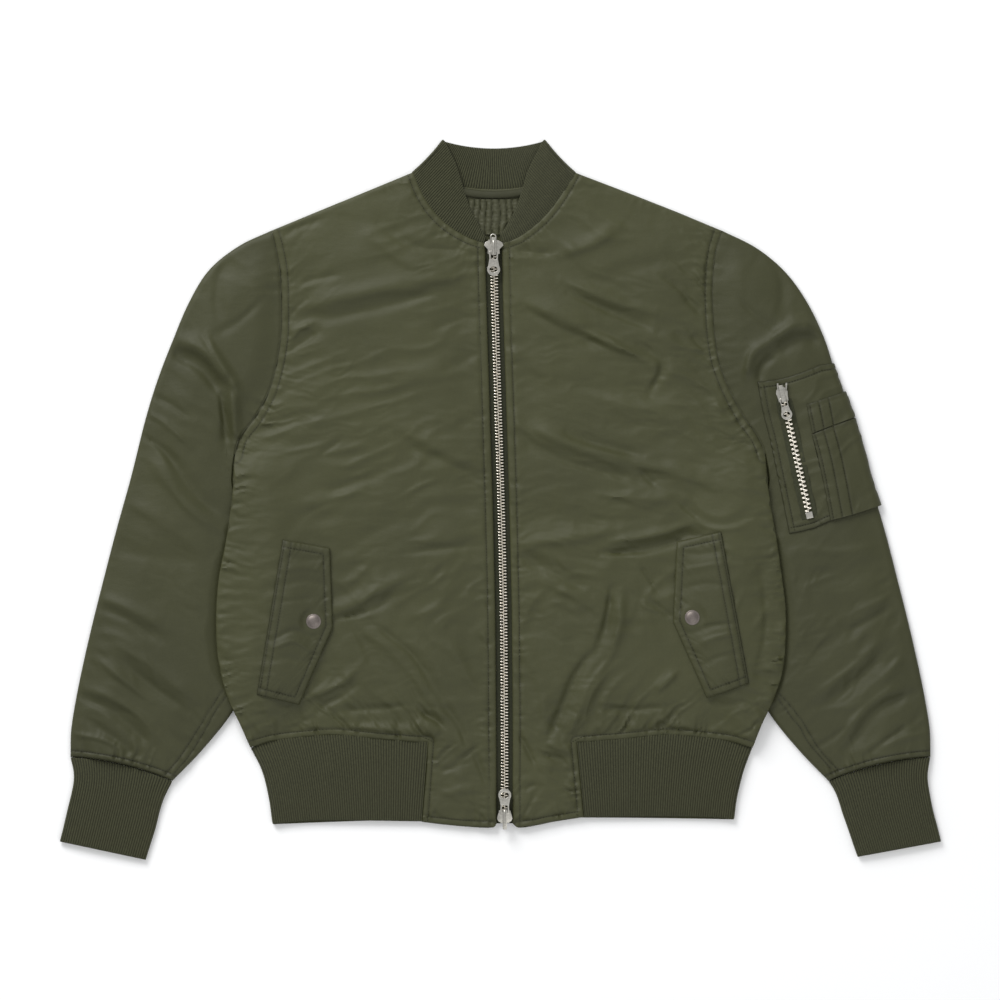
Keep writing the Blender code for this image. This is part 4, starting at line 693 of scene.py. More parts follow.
# ---------------------------------------------------------------- the sleeves
SLEEVE_SEAMS = {RIGHT: [[(-349, -286), (-333, -267), (-318, -244), (-302, -218), (-289, -198)],
                        [(-339, -284), (-323, -265), (-307, -239), (-297, -221), (-286, -205)]],
                LEFT: [[(351, -281), (332, -260), (322, -244), (311.5, -227), (296, -208), (286, -198)],
                       [(343, -279), (320, -252), (311.5, -237), (301, -224), (289, -207)]]}
SLEEVE_SEED = {RIGHT: 201, LEFT: 251}
ARM_ZIP = Path([(291, 118), (321.5, -19)], steps=1)
ARM_ZIP_LEVEL = 8.5  # the sleeve's top beside the arm zip


class Sleeve:
    """One sleeve: a flat tube, its lower edge tucked beneath the body's side."""

    def __init__(self, side, creases):
        self.side = side
        self.creases = creases
        self.outer, self.inner = SLEEVE_OUT[side], SLEEVE_IN[side]
        self.seams = [Path(points) for points in SLEEVE_SEAMS[side]]
        ends = self.outer.points[-1], self.inner.points[-1]
        cuts = np.linspace(0, 1, 20)
        cuff = [ends[0] + c * (ends[1] - ends[0]) + (0, CUFF_SEAM_BOW * 4 * c * (1 - c)) for c in cuts]
        self.cuff = Path(cuff, steps=1)

    def plan(self):
        """The places of the sleeve's mesh, from the shoulder down and from the outer fold inwards."""
        side, outer, inner = self.side, self.outer, self.inner
        travel = 0.7 * outer.travel + 0.3 * inner.travel
        rows = np.interp(edged(travel[-1], GRID * 1.04, SEAM_CUTS), travel, outer.index)
        across = edged(1.0, GRID / 180.0, (0.0, 0.0012, 0.0035, 0.008, 0.016, 0.026))
        start, end = outer.at(rows)[:, None], inner.at(rows)[:, None]
        plan = start + across[None, :, None] * (end - start)
        top, low = BODY_EDGE[-1].y, ARMPIT_Y
        ys = top + across * (low - top)
        line = outer.points[0, 0] + across * (inner.points[0, 0] - outer.points[0, 0])
        off = x_at(ARMHOLE[side], ys) - line
        off[0] = off[-1] = 0.0
        share = np.interp(rows, range(len(SLEEVE_ROWS)), [row.armhole for row in SLEEVE_ROWS])
        plan[..., 0] += share[:, None] * off[None] + side * 0.1 * np.clip(1 - rows, 0, 1)[:, None]
        tuck = ramp((ARMPIT_Y - 2.0 - plan[..., 1]) / 12.0) * ramp((plan[..., 1] + 150.0) / 60.0)
        plan[..., 0] -= side * 3.5 * (across ** 3)[None] * tuck
        bow = CUFF_SEAM_BOW * 4 * across * (1 - across)
        plan[..., 1] += bow[None] * np.clip(rows - len(SLEEVE_ROWS) + 2, 0, 1)[:, None]
        return plan

    def top(self, x, y, fine=1.0):
        """The upper face, and how much painted shade each place gets along its seams and rows of stitching."""
        (out_d, out_t, _), (in_d, *_), (arm_d, arm_t, _), (cuff_d, cuff_t, _) = [
            line.near(x, y) for line in (self.outer, self.inner, ARMHOLE[self.side], self.cuff)]
        seed = SLEEVE_SEED[self.side]
        full = SLEEVE_THICK + SLEEVE_PUFF * ramp(out_d / 42.0) * ramp(in_d / 60.0) * ramp(arm_d / 30.0)
        full = full + 0.8 * noise(x, y, 48.0, seed) + 0.3 * noise(x, y, 19.0, seed + 1)
        full = full + SLEEVE_FOLD_DEPTH * crease_height(x, y, self.creases) * ramp((out_d + 4.0) / 14.0)
        lower = ramp((20.0 - y) / 120.0)
        for k, c in enumerate(SLEEVE_CRUMPLES):
            patchy = ramp((noise(x, y, 70.0, seed + 40 + k) + 0.5) / 0.9)
            ridges = wrinkles(x, y, -self.side * c.angle, c.size, c.long, seed + 50 + 2 * k)
            full = full + c.depth * fine * (0.45 + 0.55 * lower) * patchy * ridges * ramp(out_d / 12.0)
        small = (puckers(np.abs(cuff_d - CUFF_STITCH), cuff_t, 1.9, 13.0, GATHER_SIZE, seed + 2)
                 + puckers(arm_d, arm_t, 1.3, 14.0, 7.0, seed + 4)
                 + puckers(out_d, out_t, 0.6, 11.0, 11.0, seed + 6) + groove(cuff_d, CUFF_STITCH, 0.75, 1.3))
        # Painted shade: at the cuff's seam and its row of stitching, at the armhole and down the sleeve's
        # seams.
        seam = np.maximum(np.exp(-cuff_d / 1.2), 0.4 * np.exp(-arm_d / 1.0))
        seam = np.maximum(seam, 0.85 * np.exp(-((cuff_d - CUFF_STITCH) / 0.9) ** 2))
        for k, line in enumerate(self.seams):
            seam_d, seam_t, _ = line.near(x, y)
            small = small + groove(seam_d, 0.0, 0.8, 1.3)
            small = small + puckers(seam_d, seam_t, 0.8, 7.0, GATHER_SIZE, seed + 8 + k)
            seam = np.maximum(seam, 0.7 * np.exp(-(seam_d / 0.9) ** 2))
        full = full + fine * small
        if self.side == LEFT:
            beside = np.exp(-(ARM_ZIP.near(x, y)[0] / 20.0) ** 2)
            full = full + beside * (ARM_ZIP_LEVEL - full)
        body = self.side * (x - x_at(SIDE_FOLD[self.side], y))
        under_body = np.where(y < ARMPIT_Y, 7.6 + 0.4 * np.maximum(body, 0.0), 99.0)
        full = np.minimum(full, under_body)
        edge = (roll(out_d, 6.0) * roll(in_d, 1.5 + 3.0 * ramp((20.0 - y) / 60.0))
                * np.maximum(roll(arm_d, 2.6), 0.8) * np.maximum(roll(cuff_d, 2.6), 0.45))
        middle = SLEEVE_THICK / 2
        return middle + (np.maximum(full, middle + 1.0) - middle) * edge, seam

    def low(self, x, y):
        """The face that rests on the surface."""
        out_d, in_d = self.outer.near(x, y)[0], self.inner.near(x, y)[0]
        marks = 0.5 * np.clip(noise(x, y, 34.0, 77) - 0.1, 0, 1) * ramp(np.minimum(out_d, in_d) / 12.0)
        return SLEEVE_THICK / 2 * (1.0 - roll(out_d, 5.0) * roll(in_d, 4.5)) + marks

    def build(self, look):
        plan = self.plan()
        x, y = plan[..., 0], plan[..., 1]
        top, seam = self.top(x, y)
        rows, columns = top.shape
        lower = list(range(columns - 2, 0, -6))
        low = self.low(x[:, lower], y[:, lower])
        outer = np.concatenate([np.dstack([x, y, top]), np.dstack([x[:, lower], y[:, lower], low])], axis=1)
        seam = np.concatenate([seam, np.zeros(low.shape)], axis=1)
        few = np.unique(np.linspace(0, rows - 1, 9).astype(int))
        inset = np.minimum(self.outer.near(x, y)[0], self.inner.near(x, y)[0])
        open_by = roll(inset, 9.0)
        middle = SLEEVE_THICK / 2
        room = np.maximum(np.minimum(top - SHELL, SLEEVE_THICK - SHELL) - middle, 0.2)
        high = middle + 0.15 + room * open_by
        under = middle - 0.15 - 0.35 * open_by
        shrink = 1.0 - 2.0 * SHELL / 150.0
        centre = plan.mean(axis=1, keepdims=True)
        tight = centre + (plan - centre) * shrink
        inner = np.concatenate([np.dstack([tight, high]), np.dstack([tight[:, lower], under[:, lower]])],
                               axis=1)
        return thin("cloth_sleeve_" + SIDES[self.side], outer, inner[few], look, seam)


# ---------------------------------------------------------------- knitted ribs
RIB_VERTS = 8


def rib_wave(count):
    """Rounded ribs with narrow valleys: how far each place lies below the crests, to 1."""
    turn = np.arange(count * RIB_VERTS) / RIB_VERTS
    crest = np.abs(np.cos(np.pi * turn)) ** 0.55
    return crest - 1.0


CUFF_RIBS = 78


def build_cuff(side, look):
    """A cuff: a ribbed tube, pressed flat, that is a little drawn in at the sleeve's seam."""
    outer_line, inner_line = Path(CUFF_OUTER[side]), Path(CUFF_INNER[side])
    length = (outer_line.travel[-1] + inner_line.travel[-1]) / 2
    ups = edged(length, 3.2, (0.0, 0.5, 1.2, 2.4)) / length
    starts = outer_line.along(ups * outer_line.travel[-1])
    ends = inner_line.along(ups * inner_line.travel[-1])
    count = CUFF_RIBS * RIB_VERTS
    wave = rib_wave(CUFF_RIBS)
    outer, inner, marks = [], [], []
    for k, (start, end, up) in enumerate(zip(starts, ends, ups)):
        width = math.dist(start, end)
        ease = roll(np.array(min(up, 1 - up) * length), 2.4)
        half = CUFF_THICK / 2 * (0.55 + 0.45 * ease)
        flat = width - 2 * half
        whole = 2 * flat + 2 * math.pi * half
        s = np.arange(count) * whole / count
        arc = math.pi * half
        on_top, on_end = s < flat, (s >= flat) & (s < flat + arc)
        on_low = (s >= flat + arc) & (s < 2 * flat + arc)
        angle = np.where(on_end, (s - flat) / half, (s - 2 * flat - arc) / half + math.pi)
        along = np.select([on_top, on_end, on_low], [half + s, half + flat + half * np.sin(angle),
                                                     half + flat - (s - flat - arc)],
                          half + half * np.sin(angle))
        n_along = np.select([on_top | on_low, on_end], [0 * s, np.sin(angle)], np.sin(angle))
        n_up = np.select([on_top, on_low], [1 + 0 * s, -1 + 0 * s], np.cos(angle))
        shift = 0.5 * noise(np.full(count, up * 80.0), s, 22.0, 401 + side)
        puff = np.where(n_up > 0, 0.7 * ramp(np.minimum(s, flat - s) / 20.0) * (1 + shift), 0.0)
        ring = []
        for out, wall in ((wave * (0.5 + 0.5 * ease), 0.0), (0 * s, RIB)):
            reach = half - wall
            a = along + n_along * (out - wall)
            z = CUFF_THICK / 2 + n_up * (reach + out) + (puff if wall == 0 else 0)
            cut = a / width
            bow = CUFF_SEAM_BOW * (1 - up) * 4 * cut * (1 - cut)
            drift = 0.35 * noise(s, np.full(count, up * 60.0), 14.0, 411)
            ring.append(np.stack([start[0] + cut * (end[0] - start[0]) + (drift if wall == 0 else 0),
                                  start[1] + cut * (end[1] - start[1]) + bow - 0.5 * (k == 0), z], -1))
        outer.append(ring[0])
        inner.append(ring[1])
        # How deep each place lies in a rib valley: the knit paints shade there.
        marks.append(-wave)
    few = np.unique(np.linspace(0, len(outer) - 1, 5).astype(int))
    return thin("knit_cuff_" + SIDES[side], np.array(outer), np.array(inner)[few], look, np.array(marks))


def loop_strip(parts, thick, depth):
    """A ribbed strip that runs round the back: its outer face, inner face and rib valleys, which the knit
    paints with shade.

    Each part has the places of the strip's middle, the directions of its surface and its ribs' wave.
    """
    grid, out = (np.concatenate([part[k] for part in parts], axis=1) for k in (0, 1))
    wave = np.concatenate([part[2] for part in parts])[None, :, None]
    outer = grid + out * (thick / 2 + depth * wave)
    inner = grid - out * (thick / 2 + 0.3 * depth * wave)
    return outer, inner, np.broadcast_to(-wave[..., 0], outer.shape[:2])


def loop_parts(halves, folds, outs, back, levels, pitch):
    """The five stretches of such a strip, from its right free end round the back to its left one."""
    return [halves[RIGHT], bend_section(folds[RIGHT], outs[RIGHT], *levels, True, pitch), back,
            bend_section(folds[LEFT], outs[LEFT], *levels, False, pitch),
            [part[:, ::-1] if part.ndim > 1 else part[::-1] for part in halves[LEFT]]]


def lies_up(parts):
    """Which columns of the strip are the ones at the front, with their outer face up."""
    return np.concatenate([np.full(part[0].shape[1], k in (0, 4)) for k, part in enumerate(parts)])[None]


def ribs_for(length, pitch):
    return max(2, round(length / pitch))


def flat_section(low, high, ups, pitch, level, up_sign, length, bulge=None):
    """Ribs over a flat stretch between two lines in plan, each a function of 0 to 1."""
    ribs = ribs_for(length, pitch)
    cuts = np.arange(ribs * RIB_VERTS) / (ribs * RIB_VERTS)
    a, b = low(cuts), high(cuts)
    plan = a[None] + ups[:, None, None] * (b - a)[None]
    if bulge is not None:
        plan = plan + bulge(cuts, ups)
    grid = np.dstack([plan, np.full(plan.shape[:2], level)])
    out = np.zeros_like(grid)
    out[..., 2] = up_sign
    return grid, out, rib_wave(ribs)


def bend_section(edge, directions, top_level, low_level, going_down, pitch):
    """Ribs round a fold: edge is its line in plan at each row."""
    radius = (top_level - low_level) / 2
    ribs = ribs_for(math.pi * (radius + 1.0), pitch)
    turn = np.arange(ribs * RIB_VERTS) / (ribs * RIB_VERTS) * math.pi
    angle = math.pi / 2 - turn if going_down else turn - math.pi / 2
    reach, rise = np.cos(angle), np.sin(angle)
    out = np.zeros((len(edge), len(angle), 3))
    out[..., :2] = directions[:, None] * reach[None, :, None]
    out[..., 2] = rise[None]
    grid = np.zeros_like(out)
    grid[..., :2] = edge[:, None] + directions[:, None] * (radius * reach)[None, :, None]
    grid[..., 2] = (top_level + low_level) / 2 + radius * rise[None]
    return grid, out, rib_wave(ribs)


HEM_DEEP, HEM_PITCH, HEM_RIB_DEPTH = 80.0, 2.55, 0.9
COLLAR_DEEP, COLLAR_PITCH, COLLAR_RIB_DEPTH = 45.0, 2.6, 1.0
HEM_BACK_SAG = 4.0  # how far the hem's lower edge lies inside a straight line across the back
COLLAR_BACK_DIP = 7.0


def build_hem(look):
    """The hem's rib: from one square round the back to the other."""
    ups = edged(HEM_DEEP, 4.6, (0.0, 0.5, 1.2, 2.4)) / HEM_DEEP
    top_level, low_level, pitch = SHELL + LAYER + RIB / 2 + 0.5, RIB / 2, HEM_PITCH
    radius = (top_level - low_level) / 2 + RIB / 2
    folds, sections = {}, {}
    for side in SIDES:
        fold = Path(HEM_SIDE[side])
        folds[side] = fold.along(ups * fold.travel[-1]) - (side * radius, 0.0)
        square = SQUARE_LINE[side]
        start_x = square[-1][0] - side * 0.6
        bottom = Path(HEM_BOTTOM[side][::-1])

        def high(cuts, side=side, start_x=start_x):
            x = start_x + cuts * (folds[side][0, 0] - start_x)
            return np.stack([x, hem_y(x) + 1.2], -1)

        def low(cuts, side=side, bottom=bottom):
            line = bottom.along(cuts * bottom.travel[-1])
            line[:, 0] += cuts * (folds[side][-1, 0] - bottom.points[-1, 0])
            return line

        def bulge(cuts, ups, side=side):
            a, b = high(np.array([1.0]), side)[0], low(np.array([1.0]), side)[0]
            straight = a[0] + ups * (b[0] - a[0])
            off = (folds[side][:, 0] - straight)[:, None] * (cuts ** 3)[None]
            return np.dstack([off, np.zeros_like(off)])

        sections[side] = flat_section(high, low, ups, pitch, top_level, 1.0, 165.0, bulge)
    right, left = folds[RIGHT], folds[LEFT]

    def back_high(cuts):
        x = right[0, 0] + cuts * (left[0, 0] - right[0, 0])
        return np.stack([x, hem_y(x) - 0.7], -1)

    def back_low(cuts):
        ys = HEM_BOTTOM[RIGHT][0][1] + cuts * (HEM_BOTTOM[LEFT][0][1] - HEM_BOTTOM[RIGHT][0][1])
        xs = right[-1, 0] + cuts * (left[-1, 0] - right[-1, 0])
        return np.stack([xs, ys + HEM_BACK_SAG * 4 * cuts * (1 - cuts)], -1)

    def back_bulge(cuts, ups):
        off_r = right[:, 0] - (right[0, 0] + ups * (right[-1, 0] - right[0, 0]))
        off_l = left[:, 0] - (left[0, 0] + ups * (left[-1, 0] - left[0, 0]))
        off = off_r[:, None] * ((1 - cuts) ** 6)[None] + off_l[:, None] * (cuts ** 6)[None]
        return np.dstack([off, np.zeros_like(off)])

    back = flat_section(back_high, back_low, ups, pitch, low_level, -1.0, 500.0, back_bulge)
    outs = {side: np.tile((float(side), 0.0), (len(ups), 1)) for side in SIDES}
    parts = loop_parts(sections, folds, outs, back, (top_level, low_level), pitch)
    outer, inner, marks = loop_strip(parts, RIB, HEM_RIB_DEPTH)
    x, y = outer[..., 0], outer[..., 1]
    down = np.minimum(ups, 1 - ups)[:, None] * HEM_DEEP
    puff = 1.3 * ramp(down / 18.0) * (1.0 + 0.5 * noise(x, y, 30.0, 501))
    puff = puff + 0.5 * noise(x, y * 0.2, 13.0, 502) * ramp(down / 14.0)
    outer[..., 2] += np.where(lies_up(parts), puff, 0.0)
    ease = roll(down, 2.4)
    middle = (outer + inner) / 2
    outer = middle + (outer - middle) * (0.35 + 0.65 * ease[..., None])
    outer[..., 2] = np.maximum(outer[..., 2], 0.0)
    few = np.unique(np.linspace(0, len(ups) - 1, 5).astype(int))
    return thin("knit_hem", outer, inner[few], look, marks, closed=False)


def build_collar(look):
    """The standing collar, pressed flat: two halves in front and the back's inner face between them."""
    ups = edged(COLLAR_DEEP, 2.6, (0.0, 0.5, 1.2, 2.2)) / COLLAR_DEEP
    top_level, low_level, pitch = SHELL + LAYER + ZIP_RISE + RIB / 2 + 0.4, RIB / 2, COLLAR_PITCH
    radius = (top_level - low_level) / 2 + RIB / 2
    folds, outs, fronts = {}, {}, {}
    for side in SIDES:
        name = SIDES[side] + "_x"
        seam, top = Path(column(NECK_EDGE, name, "y")), Path(COLLAR_TOP[side])
        a, b = seam.points[-1], top.points[-1]
        direction = (b - a) / np.linalg.norm(b - a)
        a = a - 3.0 * direction
        out = side * np.array((direction[1], -direction[0]))
        outs[side] = np.tile(out, (len(ups), 1))
        folds[side] = a + ups[:, None] * (b - a) - out * radius + direction * 0.6 * (1 - ups[:, None])
        folds[side] += out * (1.6 - 5.6 * ups * (1 - ups))[:, None]

        def low(cuts, side=side, seam=seam):
            line = seam.moved(-side * 1.3).along(cuts * seam.travel[-1])
            return line + (cuts ** 6)[:, None] * (folds[side][0] - seam.points[-1])

        def high(cuts, side=side, top=top):
            line = top.along(cuts * top.travel[-1])
            return line + (cuts ** 6)[:, None] * (folds[side][-1] - top.points[-1])

        fronts[side] = flat_section(low, high, ups, pitch, top_level, 1.0, 112.0)

    def back_low(cuts):
        ends = folds[RIGHT][0], folds[LEFT][0]
        line = ends[0] + cuts[:, None] * (ends[1] - ends[0])
        line[:, 1] -= NECK_DIP * 4 * cuts * (1 - cuts)
        return line

    def back_high(cuts):
        ends = folds[RIGHT][-1], folds[LEFT][-1]
        line = ends[0] + cuts[:, None] * (ends[1] - ends[0])
        line[:, 1] -= COLLAR_BACK_DIP * 4 * cuts * (1 - cuts)
        return line

    back = flat_section(back_low, back_high, ups, pitch, low_level, -1.0, 150.0)
    parts = loop_parts(fronts, folds, outs, back, (top_level, low_level), pitch)
    outer, inner, marks = loop_strip(parts, RIB, COLLAR_RIB_DEPTH)
    wave = np.concatenate([part[2] for part in parts])[None, :]
    lying_up = lies_up(parts)
    down = np.minimum(ups, 1 - ups)[:, None] * COLLAR_DEEP
    x, y = outer[..., 0], outer[..., 1]
    puff = 1.4 * ramp(down / 12.0) * (1.0 + 0.4 * noise(x, y, 24.0, 601))
    outer[..., 2] += np.where(lying_up, puff, 0.0)
    inner[..., 2] += np.where(lying_up, 0.0, 0.8 * ramp(down / 12.0) + 0.9 * wave)
    # The rib valleys of the back's inner face, which the knit paints with shade like the outer face's.
    inside = np.where(lying_up, 0.0, -wave) * np.ones((len(ups), 1))
    ease = (0.35 + 0.65 * roll(down, 2.2))[..., None]
    middle = (outer + inner) / 2
    outer, inner = middle + (outer - middle) * ease, middle + (inner - middle) * ease
    outer[..., 2] = np.maximum(outer[..., 2], 0.0)
    few = np.unique(np.linspace(0, len(ups) - 1, 9).astype(int))
    return thin("knit_collar", outer, inner[few], look, marks, inside[few], closed=False)


# ---------------------------------------------------------------- what lies on the cloth
FLAPS = {RIGHT: {"sewn": [(-226, -41), (-253, -202)], "free": [(-177, -50), (-174, -132), (-209, -213)]},
         LEFT: {"sewn": [(229, -33), (258, -190)], "free": [(183, -43), (179, -127), (214, -206)]}}
FLAP_CREASES = {
    RIGHT: [Crease(-226, -57, -203, -62, -181, -60, -1.0, 4),
            Crease(-228, -74, -205, -70, -180, -74, 0.9, 4),
            Crease(-226, -88, -202, -84, -178, -90, -1.1, 4),
            Crease(-230, -106, -212, -104, -192, -102, -0.8, 4),
            Crease(-238, -146, -214, -136, -188, -146, -1.6, 4),
            Crease(-236, -154, -214, -147, -196, -158, 1.3, 4),
            Crease(-240, -168, -222, -164, -200, -170, -0.9, 4)],
    LEFT: [Crease(232, -50, 210, -56, 188, -54, -1.0, 4), Crease(236, -66, 214, -68, 186, -74, 0.9, 4),
           Crease(240, -90, 214, -86, 188, -92, -1.0, 4), Crease(244, -128, 220, -130, 196, -138, -1.5, 4),
           Crease(246, -138, 224, -142, 204, -150, 1.3, 4), Crease(250, -160, 228, -162, 208, -172, -0.9, 4)]}
SNAP_SINK = 0.7
SNAP_AT = {RIGHT: (-194, -126), LEFT: (199, -122)}
SNAP_RADIUS = 7.9
SNAP_LEVEL = 16.0  # the flap starts to level out this far from the stud's middle
FLAP_THICK = 3.0
FLAP_CELL = 1.4
POCKET_THICK = 1.6


def build_flap(front, look):
    """A pocket flap on its front, with its rows of stitching and a level place for the press stud."""
    side = front.side
    sewn, free = Path(FLAPS[side]["sewn"]), Path(FLAPS[side]["free"], corners=(1,))
    low, high = (Path([a.points[k], b.points[k]], steps=1) for a, b, k in ((sewn, free, 0), (sewn, free, -1)))
    across = edged(1.0, FLAP_CELL / 60.0, (0, 0.008, 0.02, 0.04))
    up = edged(1.0, FLAP_CELL / 165.0, (0, 0.003, 0.007, 0.014))
    plan = coons(low, high, sewn, free, across, up)
    x, y = plan[..., 0], plan[..., 1]
    (sewn_d, sewn_t, _), (free_d, free_t, _) = sewn.near(x, y), free.near(x, y)
    end_d, end_t, _ = low.near(x, y)
    foot_d, foot_t, _ = high.near(x, y)
    rim_d = np.minimum.reduce([free_d, end_d, foot_d])
    rows = ((rim_d, FLAP_STITCH, 0.7), (sewn_d, FLAP_SEWN, 0.8), (sewn_d, FLAP_SECOND, 0.6))
    base = front.top(x, y, 0.15)[0] + 0.4 + 1.2 * ramp(sewn_d / 30.0)
    full = FLAP_THICK + 0.9 * ramp(np.minimum(rim_d, sewn_d) / 22.0) + 0.35 * noise(x, y, 16.0, 700 + side)
    full = full + FLAP_FOLD_DEPTH * crease_height(x, y, FLAP_CREASES[side])
    full = full + puckers(np.abs(rim_d - FLAP_STITCH), free_t + end_t + foot_t, 1.0, 8.0, 5.0, 710)
    full = full + puckers(sewn_d, sewn_t, 0.9, 12.0, 6.5, 712)
    for away, at, depth in rows:
        full = full + groove(away, at, depth, 1.2)
    edge = roll(rim_d, 2.6) * roll(sewn_d, 4.0)
    top = base + 0.5 + (np.maximum(full, 1.6) - 0.5) * edge
    from_snap = np.hypot(x - SNAP_AT[side][0], y - SNAP_AT[side][1])
    level = top.ravel()[np.argmin(from_snap)]
    top = top + ramp((SNAP_LEVEL - from_snap) / 7.0) * (level - top)
    low_face = base + 1.1 * (1 - ramp(rim_d / 12.0)) * ramp(sewn_d / 20.0)
    # Painted shade down the rows of stitching and along the sewn edge.
    seam = np.maximum.reduce([0.7 * np.exp(-((away - at) / 0.9) ** 2) for away, at, _ in rows]
                             + [np.exp(-sewn_d / 1.2)])
    made = panel("cloth_flap_" + SIDES[side], plan, top, np.minimum(low_face, top - 0.4), look, seam=seam)
    lines = [free.moved(side * FLAP_STITCH), sewn.moved(-side * FLAP_SEWN), sewn.moved(-side * FLAP_SECOND),
             low.moved(side * FLAP_STITCH), high.moved(-side * FLAP_STITCH)]
    return made, float(level), [(line, 7.5, 7.5) for line in lines], height_in(x, y, top)


def height_in(grid_x, grid_y, top):
    """A function that gives the height of the grid's place nearest to each of some places in plan."""
    def level(x, y):
        nearest = [np.argmin((grid_x - a) ** 2 + (grid_y - b) ** 2) for a, b in zip(x, y)]
        return top.ravel()[nearest]

    return level


def lathe(profile, steps=48):
    """Rings of a turned piece, from radius and height pairs."""
    turn = np.arange(steps) / steps * math.tau
    return np.array([[(r * math.cos(a), r * math.sin(a), z) for a in turn] for r, z in profile])


def build_snap(side, level, look):
    """A press stud's domed cap, with the rolled lip of its ring."""
    r = SNAP_RADIUS
    profile = [(r * 0.985, 0.0), (r, 0.25), (r, 0.6), (0.965 * r, 0.95), (0.9 * r, 1.1), (0.86 * r, 1.02),
               (0.83 * r, 0.98), (0.78 * r, 1.12), (0.7 * r, 1.45), (0.58 * r, 1.85), (0.42 * r, 2.2),
               (0.25 * r, 2.42), (0.1 * r, 2.5), (0.012 * r, 2.52)]
    rings = lathe(profile) + np.array([*SNAP_AT[side], level])
    faces = capped(*rings.shape[:2])
    return finish_mesh("stud_" + SIDES[side], rings.reshape(-1, 3), faces, look, 45.0)


def laid_on(name, base, clear, thick, look, detail=None, seam=None, few=5):
    """A piece of cloth over a grid of places in space, moved out along that grid's own directions."""
    out = normals(base)
    rise = np.zeros(base.shape[:2]) if detail is None else detail
    outer = base + out * (clear + thick + rise)[..., None]
    inner = base + out * np.full(base.shape[:2], clear)[..., None]
    keep = np.unique(np.linspace(0, base.shape[0] - 1, few).astype(int))
    return thin(name, outer, inner[keep], look, seam, closed=False)


ARM_POCKET = {"high": [(266.8, 122.5), (290.7, 126), (311.5, 132), (337, 142)],
              "low": [(300, -35), (311.5, -33), (327, -29), (343, -22), (364, -16.5), (393, -7)],
              "start": [(266.8, 122.5), (272, 94), (280, 62), (285.5, 36), (291, 10), (300, -35)]}
PEN_UPPER = {"high": [(318, 99), (337, 105.5), (356.5, 112)], "start": [(318, 99), (324, 69)],
             "low": [(324, 69.5), (343, 77), (366, 85.5)]}
PEN_LOWER = {"high": [(323.5, 68.5), (343, 76), (366, 84.5)], "start": [(323.5, 68.5), (332, 36), (343, -21)],
             "low": [(343, -21), (364, -15.5), (392, -6.5)]}
PEN_THICK = 1.4
# each pocket piece's node, flat size and area of cloth, in metres
POCKET_CUTS = [("arm_pocket", (0.105, 0.165), 0.0135), ("pen_pocket_lower", (0.060, 0.100), 0.0046),
               ("pen_pocket_upper", (0.050, 0.040), 0.0014)]


def along_fold(line, y_low, y_high):
    """The part of a sleeve's outer fold between two heights, from the lower one up."""
    points = line.points[(line.points[:, 1] > y_low + 1) & (line.points[:, 1] < y_high - 1)][::-1]
    ends = [(x_at(line, y), y) for y in (y_low, y_high)]
    return Path(np.vstack([ends[0], points, ends[1]]), steps=1)


def pocket_grid(shape, sleeve):
    """The places of a sleeve pocket piece, from its sewn edge to the sleeve's outer fold, and its edges."""
    high, low = Path(shape["high"]), Path(shape["low"])
    start = Path(shape["start"][::-1])
    fold = along_fold(sleeve.outer, low.points[-1][1], high.points[-1][1])
    across = edged(1.0, 1.5 / 85.0, (0, 0.006, 0.014, 0.028, 0.045))
    up = edged(1.0, 1.6 / max(start.travel[-1], 20.0), (0, 0.004, 0.01, 0.018))
    low = Path(np.vstack([start.points[0], low.points[1:-1], fold.points[0]]), steps=1)
    high = Path(np.vstack([start.points[-1], high.points[1:-1], fold.points[-1]]), steps=1)
    return coons(low, high, start, fold, across, up), low, high, start


def on_sleeve(sleeve, plan, fine):
    """The sleeve's upper face at places in plan, smoothed where a pocket bridges its creases."""
    z = sleeve.top(plan[..., 0], plan[..., 1], fine)[0]
    return np.dstack([plan, z])


def build_arm_pocket(sleeve, look):
    """The zipped pocket, which reaches round the sleeve's outer fold, and its rows of stitching."""
    plan, low, high, start = pocket_grid(ARM_POCKET, sleeve)
    x, y = plan[..., 0], plan[..., 1]
    (low_d, low_t, _), (high_d, high_t, _), (start_d, start_t, _) = [
        line.near(x, y) for line in (low, high, start)]
    rim_d = np.minimum.reduce([low_d, high_d, start_d])
    crumpled = 0.5 * noise(x, y, 24.0, 801) + 0.55 * wrinkles(x, y, 25.0, 10.0, 2.2, 805)
    detail = crumpled * ramp(rim_d / 10.0)
    detail = detail + puckers(rim_d, low_t + high_t + start_t, 1.2, 11.0, GATHER_SIZE, 803)
    detail = detail + groove(rim_d, POCKET_STITCH, 0.6, 1.2) - 1.2 * (1 - roll(rim_d, 2.2))
    # Painted shade down the row of stitching and along the pocket's edge.
    seam = np.maximum(0.7 * np.exp(-((rim_d - POCKET_STITCH) / 0.9) ** 2), np.exp(-rim_d / 1.2))
    base = on_sleeve(sleeve, plan, 0.25)
    made = laid_on("cloth_arm_pocket", base, GAP, POCKET_THICK, look, detail, seam, 12)
    return made, [start.moved(-POCKET_STITCH), low.moved(POCKET_STITCH), high.moved(-POCKET_STITCH)]


